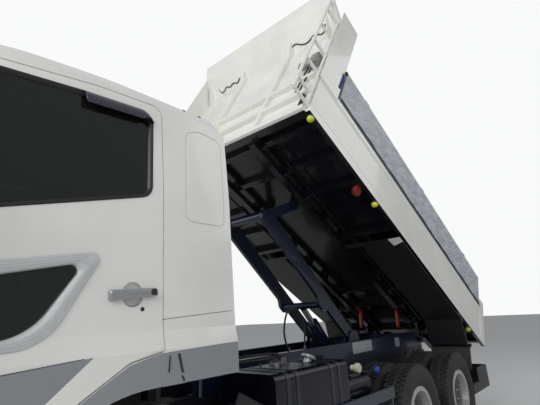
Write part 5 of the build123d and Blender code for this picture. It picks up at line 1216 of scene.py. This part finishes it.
# Seats: foam squabs under woven grey covers, sewn in channels with a firm piped edge,
# and standing on the cab's floor.
interior_grey = grained("cab lining", (0.055, 0.055, 0.058), 0.8, (420, 1), 0.001,
                        (60, 3, (0.04, 0.04, 0.043), (0.08, 0.08, 0.083)))
dress(interior_grey, "cab_interior")
seat_cloth = Finish("seat cloth", (0.07, 0.075, 0.09), 0.9, sheen_weight=0.3)
weave = {"Vector": seat_cloth.place, "Scale": 160.0, "Distortion": 1.5}
thread = seat_cloth.node("ShaderNodeTexWave", weave, output=1)
seat_cloth.give("Base Color", seat_cloth.mix(thread, (0.045, 0.05, 0.065), (0.1, 0.105, 0.12)))
seat_cloth.bump(thread, 0.001)
SEAT_Y = 0.68
SQUABS = (  # first and last point of the middle line, half width, half depth, sewn channels
    ("base", (2.332, 1.775), (2.882, 1.772), 0.263, 0.094, 4),
    ("back", (2.44, 1.735), (2.291, 2.512), 0.263, 0.09, 6),
    ("head", (2.3, 2.48), (2.262, 2.64), 0.15, 0.062, 1),
)
SQUAB_SIDES = 40
SQUARENESS = 0.25


def squab(shape, start, end, half, depth, channels):
    """Adds a crowned foam form along a line, drawn in at its ends and at each seam."""
    steps = 12 * channels + 12
    line = [start.lerp(end, step / steps) for step in range(steps + 1)]

    def outline(share):
        closing = (1 - abs(2 * share - 1) ** 14) ** 0.5 * 0.25 + 0.75
        crown = 1 - 0.09 * abs(math.cos(math.pi * channels * share)) ** 12
        squared = [(math.copysign(abs(u) ** SQUARENESS, u), math.copysign(abs(v) ** SQUARENESS, v))
                   for u, v in circle(1, SQUAB_SIDES)]
        return [(half * closing * u, depth * closing * crown * v) for u, v in squared]

    lofted(shape, line, outline, Vector((0, 1, 0)).cross(end - start).normalized())


for label, side in SIDES:
    for name, *line, half, depth, channels in SQUABS:
        start, end = (Vector((x, side * SEAT_Y, z)) for x, z in line)
        cushion = bmesh.new()
        squab(cushion, start, end, half, depth, channels)
        cushion = piece(f"seat_{name}_{label}", cushion, seat_cloth, "cab", 60)


# Driver's place: a dashboard of dull grained plastic with a hood and vents, and a
# rimmed steering wheel on its boss.
def hoop(shape, centre, axis, radius, thick, sides=10, steps=36):
    """Adds a round ring of round section about an axis."""
    axis = Vector(axis).normalized()
    first = axis.orthogonal().normalized()
    second = axis.cross(first)
    rings = []
    for u, v in circle(1, steps):
        out = first * u + second * v
        rings.append([Vector(centre) + out * (radius + r) + axis * w for r, w in circle(thick, sides)])
    ribbed(shape, rings, closed=True)


COLUMN = (-0.79, 0, 0.62)
BOSS = ((0, 0.062), (0.035, 0.064), (0.045, 0.055), (0.048, 0))
DASH_HOOD = ((3.56, 1.885, 0.01), (3.745, 1.9, 0.02), (3.74, 1.95, 0.02), (3.545, 1.935, 0.02))
dash = bmesh.new()
hoop(dash, (3.347, SEAT_Y, 1.888), COLUMN, 0.21, 0.021)
turned(dash, (3.357, SEAT_Y, 1.88), COLUMN, BOSS, 24)
bar_across(dash, rounded(DASH_HOOD, 3), 0.67, 0.23, as_is)
for y in (-0.78, -0.42, 0.0, 0.18):
    block(dash, (3.56, y - 0.065, 1.8), (3.585, y + 0.065, 1.872), as_is, 0.008)
piece("dash_fittings", dash, interior_grey, "cab", 50)

# Mirrors and mudguards: black moulded housings clamped on bent steel tube, each with
# a silvered glass behind a lip; grained black plastic guards over the wheels.
mudguard_black = painted("moulded black", (0.012, 0.012, 0.014), 0.42, dust=0.35, peel=0.0005,
                         specular_ior_level=0.4)
dress(mudguard_black, "bed_mudguards", "front_mudguards")
mirror_glass = Finish("mirror glass", (0.8, 0.82, 0.83), 0.02, metallic=1.0)
mirror_glass.give("Roughness", mirror_glass.noise(30, 3) * 0.03 + 0.005)
ARM_LINE = ((3.64, 1.08, 1.93), (3.712, 1.222, 1.93), (3.747, 1.27, 1.965), (3.747, 1.27, 2.525),
            (3.712, 1.222, 2.56), (3.64, 1.08, 2.56))
ARM_FOOT = ((-0.006, 0.026), (0.01, 0.034), (0.04, 0.036))
HOUSING = ((0.01, 3.7125), (0.008, 3.7085), (0.001, 3.7085), (0, 3.714), (0.002, 3.77),
           (0.012, 3.785), (0.03, 3.792))
glass = bmesh.new()
housings = bmesh.new()
for side in (1, -1):
    for middle, half in ((2.31, 0.21), (1.99, 0.085)):
        outline = oblong(1.18, middle - half, 1.37, middle + half, 0.03, 5)
        ribbed(housings, [[(*p, x) for p in inset(outline, inwards)] for inwards, x in HOUSING], on_end(side))
        slab(glass, inset(outline, 0.009), 3.71, 3.713, on_end(side))
    arm = [Vector((x, side * y, z)) for x, y, z in ARM_LINE]
    for start, end in zip(arm, arm[1:]):
        length = (end - start).length
        tube = ((-0.004, 0.0125), (0, 0.014), (length, 0.014), (length + 0.004, 0.0125))
        turned(housings, start, end - start, tube, 12)
    for z in (1.93, 2.56):
        turned(housings, (3.652, side * 1.102, z), (-0.42, -side * 0.9, 0), ARM_FOOT, 16)
piece("mirror_housings", housings, mudguard_black, "cab", 40, ("mirrors",))
piece("mirror_glasses", glass, mirror_glass, "cab")

# Cab front: black wipers parked across the windscreen, and a grille of moulded bars
# in front of dark strips, painted shade in place of its slots.
WIPERS = (((0.82, 1.962), (0.15, 2.12)), ((0.06, 1.962), (-0.61, 2.12)))
WIPER_ARM = ((-0.012, 0.014), (0.012, 0.014), (0.01, 0.028), (-0.01, 0.028))
BLADE = ((0.03, 0.002), (0.042, 0.002), (0.039, 0.02), (0.033, 0.02))
SPINDLE = ((-0.01, 0.026), (0.026, 0.024), (0.032, 0.016))
CLAW_LOW, CLAW_HIGH = Vector((-0.012, -0.006, -0.018)), Vector((0.004, 0.006, 0.022))
wipers = bmesh.new()
for root, tip in WIPERS:

    def along(share, over, lift):
        y, z = Vector(root).lerp(Vector(tip), share)
        return front_skin(y, z + over, lift)

    ribbed(wipers, [[along(k / 12, *point) for point in WIPER_ARM] for k in range(13)])
    ribbed(wipers, [[along(0.3 + k / 16, *point) for point in BLADE] for k in range(12)])
    turned(wipers, front_skin(*root, 0), (1, 0, 0), SPINDLE, 16)
    for share in (0.45, 0.85):
        spot = along(share, 0.016, 0.016)
        block(wipers, spot + CLAW_LOW, spot + CLAW_HIGH, as_is, 0.002)
piece("wipers", wipers, sleeve_black, "cab")
SLOT_SHADE = ((-1, 0.003), (-0.97, 0.0055), (0.97, 0.0055), (1, 0.003))
BAR = ((-1, 0.004), (-0.9, 0.013), (-0.5, 0.016), (0.5, 0.016), (0.9, 0.013), (1, 0.004))
GRILLE_ROWS = (1.27, 1.395, 1.52, 1.645)
slot_shade = bmesh.new()
bars = bmesh.new()
for z in GRILLE_ROWS:
    # Each row: a dark strip of painted shade for the slot, and a grey bar over it.
    for shape, half, width, section in ((slot_shade, 0.76, 0.036, SLOT_SHADE), (bars, 0.748, 0.013, BAR)):
        reaches = [half * (step / 16 - 1) for step in range(33)]
        ribbed(shape, [[(y, z + width * v, lift) for v, lift in section] for y in reaches], front_skin)
piece("grille_slot_shade", slot_shade, seam_dark_and_shade, "cab")
piece("grille_bars", bars, trim_grey, "cab", 40)

# Front bumper: pale satin moulding on steel brackets, with ribbed treads on its steps,
# a blank plate in the middle and round headlamps behind clear lenses beside an amber one.
bumper_grey = painted("bumper satin grey", (0.52, 0.53, 0.53), 0.36, coat=0.3, dust=0.4)
dress(bumper_grey, "front_bumper")
lamp_clear = Finish("lamp lens", (0.75, 0.75, 0.74), 0.08, coat_weight=1.0)
rearward = lamp_clear.axis("X").between(0, -0.1)
breadth = lamp_clear.axis("Y")
outboard = breadth.maths("ABSOLUTE", breadth).between(1.03, 1.035)
lens = lamp_clear.mix(outboard, (0.45, 0.012, 0.008), (0.75, 0.25, 0.01))
lamp_clear.give("Base Color", lamp_clear.mix(rearward, (0.72, 0.73, 0.74), lens))
flutes = {"Vector": lamp_clear.place, "Scale": 40.0}
lamp_clear.bump(lamp_clear.node("ShaderNodeTexWave", flutes), 0.001)
dress(lamp_clear, "lamps")
STEP_Y = 1.07
TREAD_PITCH, TREAD_WIDTH = 0.052, 0.018
HEADLAMP_Y, HEADLAMP_Z = 0.895, 0.72
HEADLAMP = ((0, 0.049), (0.003, 0.049), (0.008, 0.036), (0.01, 0))
treads = bmesh.new()
rims = bmesh.new()
ambers = bmesh.new()
lenses = bmesh.new()
for side in (1, -1):
    y = side * STEP_Y
    for z in (0.45, 0.72):
        for x in (3.225 + TREAD_PITCH * bar for bar in range(6)):
            block(treads, (x, y - 0.08, z - 0.001), (x + TREAD_WIDTH, y + 0.08, z + 0.005), as_is, 0.003)
    hoop(rims, (3.9635, side * HEADLAMP_Y, HEADLAMP_Z), (1, 0, 0), 0.05, 0.0045)
    turned(lenses, (3.9615, side * HEADLAMP_Y, HEADLAMP_Z), (1, 0, 0), HEADLAMP, 28)
    slab(ambers, oblong(0.962, 0.655, 1.052, 0.785, 0.012, 4), 3.906, 3.948, on_end(side), 0.006)
piece("step_treads", treads, mudguard_black, "chassis")
piece("headlamp_rims", rims, nut_steel, "chassis")
piece("headlamp_lenses", lenses, mirror_glass, "chassis", 50)
piece("turn_lamps", ambers, lamp_yellow, "chassis")
plate = bmesh.new()
slab(plate, oblong(-0.165, 0.625, 0.165, 0.79, 0.01, 4), 3.966, 3.9695, on_end(), 0.001)
piece("blank_plate", plate, bed_white, "chassis")
screws = [((3.97, y, 0.77), (1, 0, 0)) for y in (-0.105, 0.105)]
bolts("plate_screws", nut_steel, "chassis", "bumper_grey", screws, 0.005)

# Tailgate and rear end: hook latches and stiffening ribs welded on the gate, black
# rubber mud flaps on stays, framed tail lamps, and red reflectors on the underrun bar.
GATE_RIB = ((-0.052, 0.1, 0.004), (-0.024, 0.1, 0), (-0.024, 0.64, 0), (-0.052, 0.64, 0.004))
LATCH = ((-0.07, -0.03, 0.01), (-0.02, -0.05, 0.01), (0.01, -0.005, 0.01), (-0.045, 0.06, 0.014))
LATCH_PIN = ((0, 0.02), (0.004, 0.022), (0.056, 0.022), (0.06, 0.02))
FLAP = ((0.62, 0.0, 0.02), (1.188, 0.0, 0.02), (1.188, -0.33, 0.04), (0.62, -0.33, 0.04))
FLAP_LEAN = 0.27
STAY = ((0.585, -0.32, 0.003), (0.609, -0.32, 0.003), (0.609, 0.004, 0), (0.585, 0.004, 0))
LAMP_FRAME = ((0, 0), (0.1, 0.006), (0.8, 0.006), (1, 0))
REFLECTOR = ((0, 0.034), (0.005, 0.034), (0.008, 0.028), (0.009, 0))
LAMP_FACE, BAR_FACE = -3.443, -3.4235
ribs = bmesh.new()
latches = bmesh.new()
flaps = bmesh.new()
frames = bmesh.new()
discs = bmesh.new()
for y in (-1.08, -0.38, 0.38, 1.08):
    bar_across(ribs, rounded(GATE_RIB, 3), y, 0.022)
for y in (-0.98, 0.98):
    bar_across(latches, rounded(LATCH, 4), y, 0.014)
    turned(latches, on_bed(-0.03, y - 0.03, 0.01), (0, 1, 0), LATCH_PIN, 14)
for side in (1, -1):
    ribbed(flaps, [[(*p, lift) for p in rounded(FLAP, 4)] for lift in (-0.004, 0.004)],
           lambda y, drop, lift: on_bed(0.597 + drop * FLAP_LEAN + lift, side * y, drop - 0.292))
    for y in (0.7, 1.12):
        bar_across(flaps, rounded(STAY, 3), side * y, 0.014)
    for low in (0.82, 0.93, 1.04):
        outline = oblong(low, 0.6, low + 0.11, 0.715, 0.006, 3)
        band(frames, outline, -0.001, 0.009, LAMP_FRAME, on_end(side, LAMP_FACE, -1))
    for y in (0.48, 1.08):
        turned(discs, (-3.4275, side * y, 0.49), (-1, 0, 0), REFLECTOR, 20)
piece("tailgate_ribs", ribs, bed_white, "tailgate")
piece("tailgate_latches", latches, bed_black, "bed")
piece("mud_flaps", flaps, mudguard_black, "bed")
piece("tail_lamp_frames", frames, mudguard_black, "chassis")
piece("rear_reflectors", discs, lamp_red, "chassis")
plate = bmesh.new()
slab(plate, oblong(-0.165, 0.56, 0.165, 0.725, 0.01, 4), 0.0, 0.003, on_end(1, BAR_FACE, -1), 0.001)
block(plate, (BAR_FACE, -0.04, 0.54), (-3.415, 0.04, 0.7))
piece("rear_blank_plate", plate, bed_white, "chassis")
